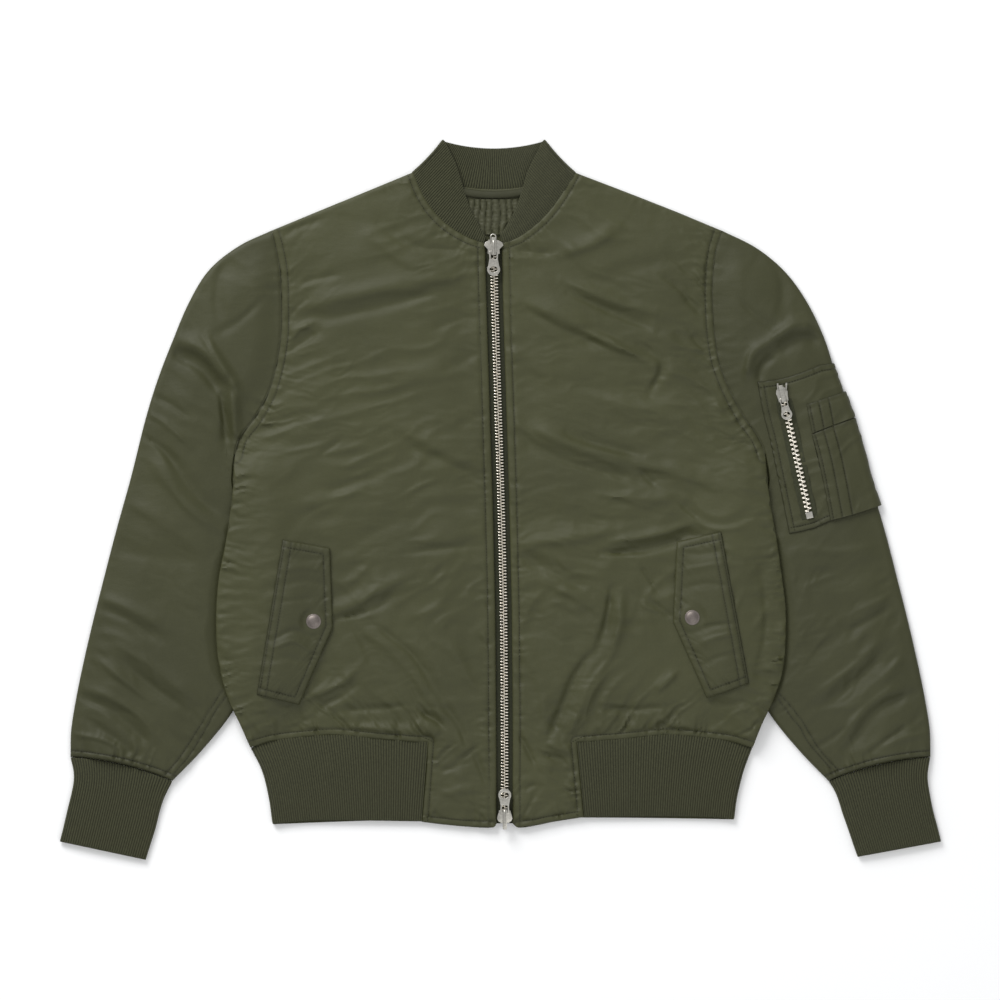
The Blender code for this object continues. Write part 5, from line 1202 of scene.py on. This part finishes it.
def build_pen_pocket(name, shape, sleeve, look):
    """A pen pocket on the zipped pocket, and its rows of stitching."""
    plan, _, high, start = pocket_grid(shape, sleeve)
    x, y = plan[..., 0], plan[..., 1]
    high_d = high.near(x, y)[0]
    start_d, start_t, _ = start.near(x, y)
    rim_d = np.minimum(start_d, high_d)
    detail = 0.35 * noise(x, y, 18.0, 811) + 0.5 * wrinkles(x, y, 60.0, 9.0, 2.4, 815) * ramp(start_d / 30.0)
    detail = detail + puckers(start_d, start_t, 1.0, 14.0, 6.0, 813)
    detail = detail + sum(groove(start_d, at, 0.6, 1.2) for at in PEN_STITCHES)
    detail = detail + groove(high_d, PEN_END_STITCH, 0.5, 1.2) - 1.0 * (1 - roll(rim_d, 2.0))
    # Painted shade down the rows of stitching and along the pocket's edges.
    seam = np.maximum.reduce([0.7 * np.exp(-((start_d - at) / 0.9) ** 2) for at in PEN_STITCHES]
                             + [0.8 * np.exp(-rim_d / 1.2)])
    base = on_sleeve(sleeve, plan, 0.25)
    made = laid_on(name, base, GAP + POCKET_THICK + GAP, PEN_THICK, look, detail, seam, 8)
    return made, [start.moved(-at) for at in PEN_STITCHES]


def build_lining(look):
    """The quilted lining that shows in the open neck, with its wavy rows of stitching."""
    low, high = Path([(-58, 276), (44, 276)], steps=1), Path([(-58, 312.5), (44, 312.5)], steps=1)
    start, end = Path([(-58, 276), (-58, 312.5)], steps=1), Path([(44, 276), (44, 312.5)], steps=1)
    plan = coons(low, high, start, end, edged(1.0, 0.008, (0, 0.004)), edged(1.0, 0.024, (0, 0.01)))
    x, y = plan[..., 0], plan[..., 1]
    drift = 1.5 * noise(x, y, 11.0, 901) + 0.8 * noise(x, y, 5.0, 902)
    phase = (x + drift + 0.12 * (y - 276.0) * (x + 7.0) / 30.0) / 7.6
    channel = np.abs(np.sin(math.pi * phase)) ** 0.7
    top = SHELL + 1.0 + 2.1 * channel + 0.5 * noise(x, y * 2.4, 4.2, 903) * channel
    # Painted shade down the quilting's channels.
    seam = 0.8 * np.exp(-(np.sin(math.pi * phase) / 0.16) ** 2)
    return panel("quilt_neck", plan, top, np.full(top.shape, SHELL + 0.3), look, seam=seam)


def build_neck_tape(look):
    """The rolled binding over the seam of the lining and the collar."""
    part = edged(1.0, 1.4 / 160.0, (0.0, 0.004, 0.01))
    middle = back_neck(part) * (0.92, 1.0) + (-0.5, -5.8)
    across = np.linspace(0, 1, 11)
    plan = np.stack([middle - (0, 4.2) + (0, 8.4 * a) for a in across])
    swell = np.sqrt(np.clip(1 - (2 * across - 1) ** 2, 0, 1))[:, None]
    twist = 1.0 + 0.12 * noise(plan[..., 0], plan[..., 1], 6.0, 905)
    top = SHELL + 0.8 + 3.0 * swell * twist
    return panel("binding_neck", plan, top, np.full(top.shape, SHELL + 0.3), look, every=12)


# ---------------------------------------------------------------- the zips
TOOTH_PITCH = 3.2
TAPE_LOW, TAPE_HIGH = 3.3, 4.3
CHAIN_LOW = 4.5
TEETH_LOW_Y, TEETH_HIGH_Y, TEETH_HALF = -321.5, 254.0, 3.8
ARM_PITCH, ARM_TEETH_HALF = 4.7, 3.6


def build_tape(side, look):
    """One half of the zip's tape, with the bead that its teeth are clamped on."""
    ys = np.concatenate([[-336.0], np.arange(-330, 266, 6.0), [266.0]])
    near, far = 0.3, 16.0
    cuts = np.array([0.0, 0.02, 0.1, 0.3, 0.36, 0.42, 0.6, 0.9, 1.0])
    plan = np.array([[(zip_x(y) + side * (near + c * (far - near)), y) for c in cuts] for y in ys])
    bead = 0.42 * np.exp(-((cuts - 0.06) / 0.07) ** 2)[None] * np.ones((len(ys), 1))
    low = np.full(plan.shape[:2], TAPE_LOW)
    return panel("tape_" + SIDES[side], plan, TAPE_HIGH + bead, low, look, every=4)


def tooth(across, along, height):
    """A moulded tooth's eight-sided block with a raised middle: its points and faces."""
    half, long = across / 2, along / 2
    outline = [(-half, -0.7 * long), (-0.55 * half, -long), (0.6 * half, -long), (half, -0.45 * long),
               (half, 0.45 * long), (0.6 * half, long), (-0.55 * half, long), (-half, 0.7 * long)]
    levels = [(1.0, 0.0), (1.0, 0.62), (0.86, 0.9), (0.55, 1.0)]
    points = [(x * size, y * size, z * height) for size, z in levels for x, y in outline]
    return np.array(points), capped(len(levels), len(outline))


def build_teeth(name, line, start, stop, half, level, look, pitch=TOOTH_PITCH, height=2.5):
    """Two rows of teeth that close on each other along a line. level gives the height of the tape."""
    bar, bar_faces = tooth(half * 1.2, pitch * 0.46, height)
    head, head_faces = tooth(half * 0.36, pitch * 0.62, height * 1.06)
    block = np.vstack([bar + (half * 0.5, 0.0, 0.0), head])
    block_faces = bar_faces + [[v + len(bar) for v in face] for face in head_faces]
    points, faces = [], []
    travel = start
    while travel < stop:
        for side in SIDES:
            at = travel + (pitch / 2 if side == LEFT else 0.0)
            if at > stop:
                continue
            here, ahead = line.along(at), line.along(at + 1.0)
            if np.allclose(here, ahead):
                here, ahead = line.along(at - 1.0), here
            way = (ahead - here) / np.linalg.norm(ahead - here)
            beside = np.array((way[1], -way[0]))
            shape = block * (side, 1.0, 1.0)
            plan = here + shape[:, :1] * beside + shape[:, 1:2] * way
            shift = len(points) * len(block)
            points.append(np.column_stack([plan, shape[:, 2] + level(*here)]))
            faces += [[shift + v for v in face] for face in block_faces]
        travel += pitch
    return finish_mesh(name, np.concatenate(points), faces, look, 35.0)


def bevelled(node, name, look, width=0.28, extra=()):
    """A hard piece of the model with its edges rounded, and any added pieces joined to it."""
    shape = bmesh.new()
    shape.from_mesh(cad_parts[node].data)
    bmesh.ops.remove_doubles(shape, verts=shape.verts, dist=1e-6)
    bmesh.ops.dissolve_limit(shape, angle_limit=math.radians(1.0), verts=shape.verts, edges=shape.edges)
    sharp = [edge for edge in shape.edges
             if len(edge.link_faces) == 2 and edge.calc_face_angle(0.0) > math.radians(35)]
    bmesh.ops.bevel(shape, geom=sharp, offset=width * MM, segments=3, profile=0.5, affect="EDGES",
                    clamp_overlap=True)
    bmesh.ops.triangulate(shape, faces=[face for face in shape.faces if len(face.verts) > 4])
    mesh = bpy.data.meshes.new(name)
    shape.to_mesh(mesh)
    shape.free()
    points = [np.array([v.co[:] for v in mesh.vertices]) / MM]
    faces = [list(face.vertices) for face in mesh.polygons]
    bpy.data.meshes.remove(mesh)
    count = len(points[0])
    for more, more_faces in extra:
        points.append(np.asarray(more, float))
        faces += [[v + count for v in face] for face in more_faces]
        count += len(more)
    return finish_mesh(name, np.concatenate(points), faces, look, 40.0)


def rod(path, radius, steps=10):
    """A round bar along places in space, closed at both ends."""
    path = np.asarray(path, float)
    way = np.gradient(path, axis=0)
    way /= np.linalg.norm(way, axis=1, keepdims=True)
    side = np.cross(way, np.array((0.21, 0.1, 0.97)))
    side /= np.linalg.norm(side, axis=1, keepdims=True)
    up = np.cross(side, way)
    turn = np.arange(steps) / steps * math.tau
    rings = path[:, None] + radius * (side[:, None] * np.cos(turn)[None, :, None]
                                      + up[:, None] * np.sin(turn)[None, :, None])
    return rings.reshape(-1, 3), capped(len(path), steps)


# ---------------------------------------------------------------- stitching
def build_stitches(name, runs, level, look):
    """Rows of short stitches. A run is a line and how much of each end is left bare."""
    turn = np.arange(4) / 4 * math.tau
    points, faces = [], []
    for line, first, last in runs:
        stops = np.arange(first, line.travel[-1] - last, STITCH_PITCH)
        if not len(stops):
            continue
        here, ahead = line.along(stops), line.along(stops + 0.5)
        way = ahead - here
        size = np.linalg.norm(way, axis=1)
        here, way = here[size > 1e-6], way[size > 1e-6] / size[size > 1e-6, None]
        z = level(here[:, 0], here[:, 1])
        for (x, y), (a, b), height in zip(here, way, z):
            shift = len(points)
            ends = [(x + a * half, y + b * half, height - 0.35)
                    for half in (-STITCH_LENGTH / 2, STITCH_LENGTH / 2)]
            points.append(ends[0])
            for along in (-0.36 * STITCH_LENGTH, 0.36 * STITCH_LENGTH):
                for angle in turn:
                    off = 0.75 * STITCH_HALF * math.cos(angle)
                    rise = 0.12 + 0.75 * STITCH_RISE * math.sin(angle)
                    points.append((x + a * along - b * off, y + b * along + a * off, height + rise))
            points.append(ends[1])
            for k in range(4):
                n = (k + 1) % 4
                faces += [[shift, shift + 1 + n, shift + 1 + k],
                          [shift + 1 + k, shift + 1 + n, shift + 5 + n, shift + 5 + k],
                          [shift + 5 + k, shift + 5 + n, shift + 9]]
    return finish_mesh(name, points, faces, look, 80.0)


# ---------------------------------------------------------------- materials
def linear(*rgb):
    values = [channel / 255 for channel in rgb]
    return [v / 12.92 if v <= 0.04045 else ((v + 0.055) / 1.055) ** 2.4 for v in values]


class Look:
    """A small helper that builds a node material round one Principled shader."""

    def __init__(self, name):
        self.made = bpy.data.materials.new(name)
        self.made.use_nodes = True
        self.tree = self.made.node_tree
        self.shader = self.tree.nodes["Principled BSDF"]
        self.place = self.node("ShaderNodeTexCoord").outputs["Object"]

    def node(self, kind, **inputs):
        made = self.tree.nodes.new(kind)
        for key, value in inputs.items():
            key = key.replace("_", " ")
            if isinstance(value, bpy.types.NodeSocket):
                self.tree.links.new(value, made.inputs[key])
            else:
                made.inputs[key].default_value = value
        return made

    def set(self, **values):
        for key, value in values.items():
            self.shader.inputs[key.replace("_", " ")].default_value = value

    def link(self, value, name):
        self.tree.links.new(value, self.shader.inputs[name])

    def noise(self, scale, detail=2.0, roughness=0.5, place=None):
        return self.node("ShaderNodeTexNoise", Vector=place or self.place, Scale=scale, Detail=detail,
                         Roughness=roughness).outputs["Fac"]

    def mapped(self, scale=(1.0, 1.0, 1.0), turn=0.0):
        """The object's places, scaled and then turned about Z by degrees."""
        return self.node("ShaderNodeMapping", Vector=self.place, Scale=scale,
                         Rotation=(0.0, 0.0, math.radians(turn))).outputs["Vector"]

    def math(self, operation, a, b=0.0):
        made = self.tree.nodes.new("ShaderNodeMath")
        made.operation = operation
        for k, value in enumerate((a, b)):
            if isinstance(value, bpy.types.NodeSocket):
                self.tree.links.new(value, made.inputs[k])
            else:
                made.inputs[k].default_value = value
        return made.outputs[0]

    def ramp(self, value, stops):
        made = self.tree.nodes.new("ShaderNodeValToRGB")
        self.tree.links.new(value, made.inputs["Fac"])
        while len(made.color_ramp.elements) < len(stops):
            made.color_ramp.elements.new(0.5)
        for element, (at, colour) in zip(made.color_ramp.elements, stops):
            element.position = at
            element.color = (*colour, 1.0)
        return made.outputs["Color"]

    def mix(self, kind, factor, a, b):
        made = self.tree.nodes.new("ShaderNodeMix")
        made.data_type = "RGBA"
        made.blend_type = kind
        sockets = {"Factor": made.inputs[0], "A": made.inputs[6], "B": made.inputs[7]}
        for key, value in (("Factor", factor), ("A", a), ("B", b)):
            if isinstance(value, bpy.types.NodeSocket):
                self.tree.links.new(value, sockets[key])
            elif key == "Factor":
                sockets[key].default_value = value
            else:
                sockets[key].default_value = (*value, 1.0)
        return made.outputs[2]

    def bump(self, height, distance, strength=1.0, under=None):
        made = self.node("ShaderNodeBump", Height=height, Distance=distance, Strength=strength)
        if under is not None:
            self.tree.links.new(under, made.inputs["Normal"])
        return made.outputs["Normal"]

    def uneven(self, value, roughness, spread, low):
        """A roughness that varies by the spread, from low below the one that is given."""
        self.link(self.math("ADD", self.math("MULTIPLY", value, spread), roughness - low), "Roughness")

    def attribute(self, name):
        made = self.tree.nodes.new("ShaderNodeAttribute")
        made.attribute_name = name
        return made.outputs["Fac"]


TWILL_ANGLE = 63.0


def cloth_look(name, colour, seam_shade_depth=0.8, roughness=0.58, sheen=0.03):
    """Satin-faced nylon twill: a fine diagonal weave, soft streaks of wear, and painted shade along its seams
    and rows of stitching.
    """
    look = Look(name)
    base = np.array(colour)
    cloudy = look.ramp(look.noise(7.0, 4.0, 0.6), [(0.35, base * 0.93), (0.65, base * 1.07)])
    fine = look.ramp(look.noise(320.0, 3.0, 0.7, look.mapped((1.0, 0.35, 1.0))),
                     [(0.3, (0.97, 0.97, 0.97)), (0.7, (1.03, 1.03, 1.03))])
    mixed = look.mix("MULTIPLY", 1.0, cloudy, fine)
    # The seam attribute paints shade into the colour: it darkens towards 0.32 of the base along seams, rows of
    # stitching and quilting channels.
    seam_shade = look.math("MULTIPLY", look.attribute("seam"), seam_shade_depth)
    look.link(look.mix("MIX", seam_shade, mixed, tuple(base * 0.32)), "Base Color")
    weave = look.node("ShaderNodeTexWave", Vector=look.mapped(turn=TWILL_ANGLE), Scale=620.0, Distortion=1.2,
                      Detail=2.0, Detail_Scale=3.0)
    rough = look.noise(60.0, 3.0, 0.6)
    coarse = look.bump(rough, 0.0006, 0.35)
    crinkle = look.noise(170.0, 4.0, 0.65, look.mapped((0.5, 1.0, 1.0)))
    coarse = look.bump(crinkle, 0.0006, 0.5, coarse)
    look.link(look.bump(weave.outputs["Fac"], 0.00007, 0.35, coarse), "Normal")
    look.uneven(look.noise(26.0, 3.0), roughness, 0.16, 0.08)
    look.set(Sheen_Weight=sheen, Sheen_Roughness=0.4, Specular_IOR_Level=0.34,
             Sheen_Tint=(0.85, 0.86, 0.74, 1.0))
    return look.made


def knit_look(name, colour, depth=0.75):
    """Ribbed wool knit: matt, fuzzy, with painted shade down in its valleys."""
    look = Look(name)
    base = np.array(colour)
    mottled = look.ramp(look.noise(420.0, 3.0, 0.7), [(0.3, base * 0.8), (0.7, base * 1.2)])
    # The seam attribute holds how deep each place lies in a rib valley, and paints shade there, towards 0.22
    # of the base.
    deep = look.math("MULTIPLY", look.attribute("seam"), depth)
    look.link(look.mix("MIX", deep, mottled, tuple(base * 0.22)), "Base Color")
    loops = look.noise(900.0, 2.0, 0.6)
    look.link(look.bump(loops, 0.0005, 0.5), "Normal")
    look.set(Roughness=0.95, Sheen_Weight=0.12, Sheen_Roughness=0.6, Specular_IOR_Level=0.12,
             Sheen_Tint=(0.8, 0.8, 0.68, 1.0))
    return look.made


def thread_look():
    look = Look("thread")
    # The thread is darker than the cloth: partly its own colour, partly painted shade of the needle holes it
    # sits in.
    base = np.array((0.020, 0.021, 0.009))
    look.link(look.ramp(look.noise(900.0), [(0.3, base * 0.8), (0.7, base * 1.15)]), "Base Color")
    look.link(look.bump(look.noise(2500.0), 0.0002, 0.5), "Normal")
    look.set(Roughness=0.75, Sheen_Weight=0.02, Specular_IOR_Level=0.15)
    return look.made


def tape_look(name, tone):
    look = Look(name)
    base = tone * np.array((0.026, 0.028, 0.015))
    look.link(look.ramp(look.noise(500.0), [(0.3, base * 0.82), (0.7, base * 1.15)]), "Base Color")
    ribs = look.node("ShaderNodeTexWave", Vector=look.place, Scale=420.0, Distortion=0.6)
    ribs.bands_direction = "Y"
    look.link(look.bump(ribs.outputs["Fac"], 0.0002, 0.6), "Normal")
    look.set(Roughness=0.85, Sheen_Weight=0.04, Specular_IOR_Level=0.2)
    return look.made


def metal_look(name, colour, roughness, tarnish):
    """Cast metal: fine scratches, dull patches and darker patches of grime."""
    look = Look(name)
    base = np.array(linear(*colour))
    look.link(look.ramp(look.noise(380.0, 4.0, 0.65), [(0.3, base * tarnish), (0.65, base)]), "Base Color")
    look.uneven(look.noise(900.0, 3.0), roughness, 0.25, 0.12)
    look.link(look.bump(look.noise(1600.0, 3.0), 0.00006, 0.4), "Normal")
    look.set(Metallic=1.0)
    return look.made


def floor_look():
    look = Look("floor")
    look.link(look.ramp(look.noise(3.0), [(0.3, (0.95, 0.95, 0.95)), (0.7, (0.96, 0.96, 0.96))]), "Base Color")
    look.set(Roughness=0.9, Specular_IOR_Level=0.1)
    return look.made


# ---------------------------------------------------------------- the scene
def place(made, nodes, slot, body="jacket"):
    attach(made, body)
    if nodes:
        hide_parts(*nodes)
    return made


def height_on(made):
    """A function that gives the top of a mesh at places in plan."""
    points = np.array([vertex.co[:] for vertex in made.data.vertices]) / MM

    def level(x, y):
        nearest = [np.argpartition(np.hypot(points[:, 0] - a, points[:, 1] - b), 4)[:4] for a, b in zip(x, y)]
        return np.array([points[few, 2].max() - 0.15 for few in nearest])

    return level


def cut(made, flat, area, rests_on=()):
    list(rests_on)


def height_of(piece):
    """A function that gives the upper face of a front or a sleeve at places in plan."""
    return lambda x, y: piece.top(x, y)[0]


def stitch(name, runs, level, look):
    place(build_stitches("stitches_" + name, runs, level, look), [], None)


def make_looks():
    olive = np.array((0.0468, 0.0485, 0.0172))
    return {"shell": cloth_look("shell_nylon", olive),
            # The sleeves' nylon is a darker copy of the shell's: painted shade for the dimmer sheen of their
            # turned grain.
            "wear_and_shade": cloth_look("sleeve_nylon", olive * 0.84),
            # The flaps and pocket pieces use a darker copy of the shell nylon too: painted shade that sets
            # them darker than the fronts.
            "shaded_pockets": cloth_look("flap_nylon", olive * 0.88),
            "knit": knit_look("rib_knit", (0.0490, 0.0505, 0.0265)),
            "lining": cloth_look("lining_nylon", (0.0480, 0.0490, 0.0230), 0.75, 0.6),
            "binding": cloth_look("binding_nylon", (0.0340, 0.0350, 0.0160), 0.5, 0.75),
            "tape": tape_look("zip_tape", 1.0),
            "thread": thread_look(),
            "arm_tape": tape_look("arm_tape", 1.45),
            "metal": metal_look("zip_metal", (196, 193, 184), 0.34, 0.72),
            "teeth": metal_look("zip_teeth", (240, 233, 218), 0.22, 0.85),
            "stud": metal_look("snap_metal", (126, 118, 113), 0.5, 0.8)}


def build_front_side(side, creases, looks):
    """A front with its pocket flap, its press stud and their stitching."""
    name = SIDES[side]
    front = Front(side, creases)
    made = place(front.build(looks["shell"]), ["front_" + name], "shell_nylon")
    cut(made, (0.30, 0.68), 0.158, ["cloth_back"])
    seams = {"zip": (front.placket, -side, 3.0, 6.0), "neck": (front.neck, -side, 2.0, 2.0),
             "arm": (ARMHOLE[side], side, 5.0, 8.0), "hem": (front.welt, side, 6.0, 10.0)}
    runs = []
    for gather in FRONT_GATHERS:
        line, inwards, first, last = seams[gather.line]
        runs.append((line.moved(inwards * gather.stitch), first, last))
    stitch("front_" + name, runs, height_of(front), looks["thread"])
    flap, height, flap_runs, flap_level = build_flap(front, looks["shaded_pockets"])
    place(flap, ["pocket_flap_" + name], "shell_nylon")
    cut(flap, (0.080, 0.182), 0.0108, [made.name])
    stitch("flap_" + name, flap_runs, flap_level, looks["thread"])
    place(build_snap(side, height - SNAP_SINK, looks["stud"]), ["snap_" + name], "snap_metal")


def build_sleeve_side(side, creases, looks):
    """A sleeve with its cuff, and on the left its pockets and their zip."""
    name = SIDES[side]
    sleeve = Sleeve(side, creases)
    made = place(sleeve.build(looks["wear_and_shade"]), ["sleeve_" + name], "shell_nylon")
    cut(made, (0.40, 0.60), 0.140)
    runs = [(line, 2.0, 2.0) for line in sleeve.seams]
    runs.append((sleeve.cuff.moved(-side * CUFF_STITCH), 5.0, 4.0))
    stitch("sleeve_" + name, runs, height_of(sleeve), looks["thread"])
    cuff = place(build_cuff(side, looks["knit"]), ["cuff_" + name], "rib_knit")
    cut(cuff, (0.215, 0.090), 0.0185)
    if side == LEFT:
        pockets = [build_arm_pocket(sleeve, looks["shaded_pockets"]),
                   build_pen_pocket("cloth_pen_lower", PEN_LOWER, sleeve, looks["shaded_pockets"]),
                   build_pen_pocket("cloth_pen_upper", PEN_UPPER, sleeve, looks["shaded_pockets"])]
        for (piece, lines), (node, flat, area) in zip(pockets, POCKET_CUTS):
            place(piece, [node], "shell_nylon")
            cut(piece, flat, area, [made.name])
            runs = [(line, 3.0, 3.0) for line in lines]
            stitch(piece.name[len("cloth_"):], runs, height_on(piece), looks["thread"])
        build_arm_zip(sleeve, looks["arm_tape"], looks["metal"], looks["teeth"])


def build_front_zip(looks):
    for side in SIDES:
        made = place(build_tape(side, looks["tape"]), ["zip_tape_" + SIDES[side]], "zip_tape")
        cut(made, (0.0160, 0.603), 0.0095, ["cloth_back"])
    low_end = ZIP_LINE[0][0]
    teeth = build_teeth("teeth_front", ZIP_MIDDLE, TEETH_LOW_Y - low_end, TEETH_HIGH_Y - low_end, TEETH_HALF,
                        lambda x, y: CHAIN_LOW, looks["teeth"])
    place(teeth, ["zip_chain"], "zip_metal")
    metal = looks["metal"]
    for end, hinge_y, way, reach in (("top", TOP_HINGE_Y, 1, 14.0), ("bottom", BOTTOM_HINGE_Y, -1, 15.6)):
        extra = [rod(bridge_line(zip_x(hinge_y), hinge_y, way, reach), 1.25)]
        if end == "top":
            extra.append(rod(stop_loop(zip_x(hinge_y), hinge_y), 0.8))
        slider = bevelled(f"zip_{end}_slider", f"slider_{end}", metal, 0.55, extra)
        place(slider, [f"zip_{end}_slider"], "zip_metal")
        place(bevelled(f"zip_{end}_pull", f"pull_{end}", metal, 0.4), [f"zip_{end}_pull"], "zip_metal",
              f"{end}_pull")


def build_all():
    looks = make_looks()
    cut(place(build_back(looks["shell"]), ["back_panel"], "shell_nylon"), (0.60, 0.60), 0.310)
    for side, creases in ((RIGHT, FRONT_RIGHT_CREASES), (LEFT, FRONT_LEFT_CREASES)):
        build_front_side(side, creases, looks)
    for side, creases in ((RIGHT, SLEEVE_RIGHT_CREASES), (LEFT, SLEEVE_LEFT_CREASES)):
        build_sleeve_side(side, creases, looks)
    cut(place(build_hem(looks["knit"]), ["hem_rib"], "rib_knit"), (0.88, 0.084), 0.072)
    cut(place(build_collar(looks["knit"]), ["collar_rib"], "rib_knit"), (0.40, 0.060), 0.0165)
    lining = place(build_lining(looks["lining"]), ["neck_lining"], "lining_nylon")
    cut(lining, (0.103, 0.038), 0.0038, ["cloth_back"])
    binding = place(build_neck_tape(looks["binding"]), ["neck_tape"], "lining_nylon")
    cut(binding, (0.160, 0.010), 0.0014, ["cloth_back"])
    build_front_zip(looks)


def bridge_line(x, y, way, reach):
    """The round bar of a slider's bridge, which the pull hangs on."""
    low, high = HINGE_Z - 0.6, HINGE_Z + 2.6
    side = [(-2.9, low), (-3.0, high - 1.3), (-2.3, high - 0.4), (-0.8, high), (reach - 5.0, high),
            (reach - 3.2, high - 0.5), (reach - 2.2, high - 1.6), (reach - 2.0, low)]
    return [(x, y + way * along, z) for along, z in side]


def stop_loop(x, y):
    """The small wire loop at the head of the top slider, over the tapes' ends."""
    turn = np.linspace(math.pi, 0.0, 9)
    arc = [(x - 0.4 + 2.7 * math.cos(a), y + 15.4 + 2.7 * math.sin(a), HINGE_Z - 0.4) for a in turn]
    return [(x - 3.1, y + 9.0, HINGE_Z - 0.6)] + arc + [(x + 2.3, y + 9.0, HINGE_Z - 0.6)]


ARM_TAPE_CLEAR, ARM_TAPE_THICK = 1.6, 0.9
# the two prongs at the nose of the arm slider
ARM_PRONGS = [[(288.9, 113.5, 14.2), (288.0, 117.0, 14.4), (287.7, 121.0, 14.4)],
              [(296.2, 113.5, 14.2), (296.5, 117.0, 14.4), (296.9, 121.6, 14.4)]]


def build_arm_zip(sleeve, tape, metal, teeth):
    """The slanting zip of the sleeve pocket: tape, teeth, end stop, slider and pull."""
    rows = edged(ARM_ZIP.travel[-1], 2.4, (0.0, 0.6))
    middle = ARM_ZIP.along(rows)
    way = (ARM_ZIP.points[-1] - ARM_ZIP.points[0]) / ARM_ZIP.travel[-1]
    beside = np.array((way[1], -way[0]))
    offsets = np.array([-8.5, -8.0, -6.0, -4.0, -2.0, 0.0, 2.0, 4.0, 6.0, 8.0, 8.5])
    plan = middle[:, None] + offsets[None, :, None] * beside
    base = on_sleeve(sleeve, plan, 0.0)
    made = laid_on("tape_arm", base, ARM_TAPE_CLEAR, ARM_TAPE_THICK, tape, few=8)
    place(made, ["arm_zip_tape"], "zip_tape")
    cut(made, (0.018, 0.142), 0.0024, ["cloth_arm_pocket"])

    def level(x, y):
        return float(sleeve.top(np.array([x]), np.array([y]), 0.0)[0][0]) + ARM_TAPE_CLEAR + ARM_TAPE_THICK

    chain = build_teeth("teeth_arm", ARM_ZIP, 17.0, ARM_ZIP.travel[-1] - 8.0, ARM_TEETH_HALF, level, teeth,
                        ARM_PITCH, 2.2)
    place(chain, ["arm_zip_chain"], "zip_metal")
    place(bevelled("arm_zip_stop", "stop_arm", metal, 0.5), ["arm_zip_stop"], "zip_metal")
    prongs = [rod(line, 1.15) for line in ARM_PRONGS]
    place(bevelled("arm_zip_slider", "slider_arm", metal, 0.5, prongs), ["arm_zip_slider"], "zip_metal")
    place(bevelled("arm_zip_pull", "pull_arm", metal, 0.4), ["arm_zip_pull"], "zip_metal", "arm_pull")


FLOOR_HALF, FLOOR_DROP = 14.0, 0.0002
Lamp = namedtuple("Lamp", "name at size power")
LAMPS = [Lamp("key", (-1.45, 2.45, 2.0), 1.8, 100.0), Lamp("fill", (0.8, -1.8, 2.6), 2.6, 22.0)]
SKY_COLOUR, SKY_STRENGTH = (0.98, 0.99, 1.0, 1.0), 0.58
CAMERA_HEIGHT, FIELD, SENSOR = 8.0, 1.04, 36.0


def build_studio():
    """A pale floor, a broad soft light from above the collar and a long lens that looks straight down."""
    mesh = bpy.data.meshes.new("floor")
    corners = ((-1, -1), (1, -1), (1, 1), (-1, 1))
    mesh.from_pydata([(FLOOR_HALF * a, FLOOR_HALF * b, -FLOOR_DROP) for a, b in corners], [], [(0, 1, 2, 3)])
    floor = bpy.data.objects.new("floor", mesh)
    bpy.context.scene.collection.objects.link(floor)
    mesh.materials.append(floor_look())
    for lamp in LAMPS:
        data = bpy.data.lights.new(lamp.name, "AREA")
        data.size, data.energy = lamp.size, lamp.power
        light = bpy.data.objects.new(lamp.name, data)
        light.location = lamp.at
        way = -np.array(lamp.at)
        light.rotation_euler = (math.atan2(math.hypot(way[0], way[1]), -way[2]), 0.0,
                                math.atan2(way[1], way[0]) - math.pi / 2)
        bpy.context.scene.collection.objects.link(light)
    world = bpy.data.worlds.new("studio")
    world.use_nodes = True
    sky = world.node_tree.nodes["Background"]
    sky.inputs["Color"].default_value = SKY_COLOUR
    sky.inputs["Strength"].default_value = SKY_STRENGTH
    bpy.context.scene.world = world
    data = bpy.data.cameras.new("camera")
    data.sensor_width = SENSOR
    data.lens = SENSOR * CAMERA_HEIGHT / FIELD
    data.clip_end = 50.0
    camera = bpy.data.objects.new("camera", data)
    camera.location = (-0.0005, 0.0, CAMERA_HEIGHT)
    bpy.context.scene.collection.objects.link(camera)
    bpy.context.scene.camera = camera
    bpy.context.scene.view_settings.view_transform = "Standard"


build_all()
build_studio()
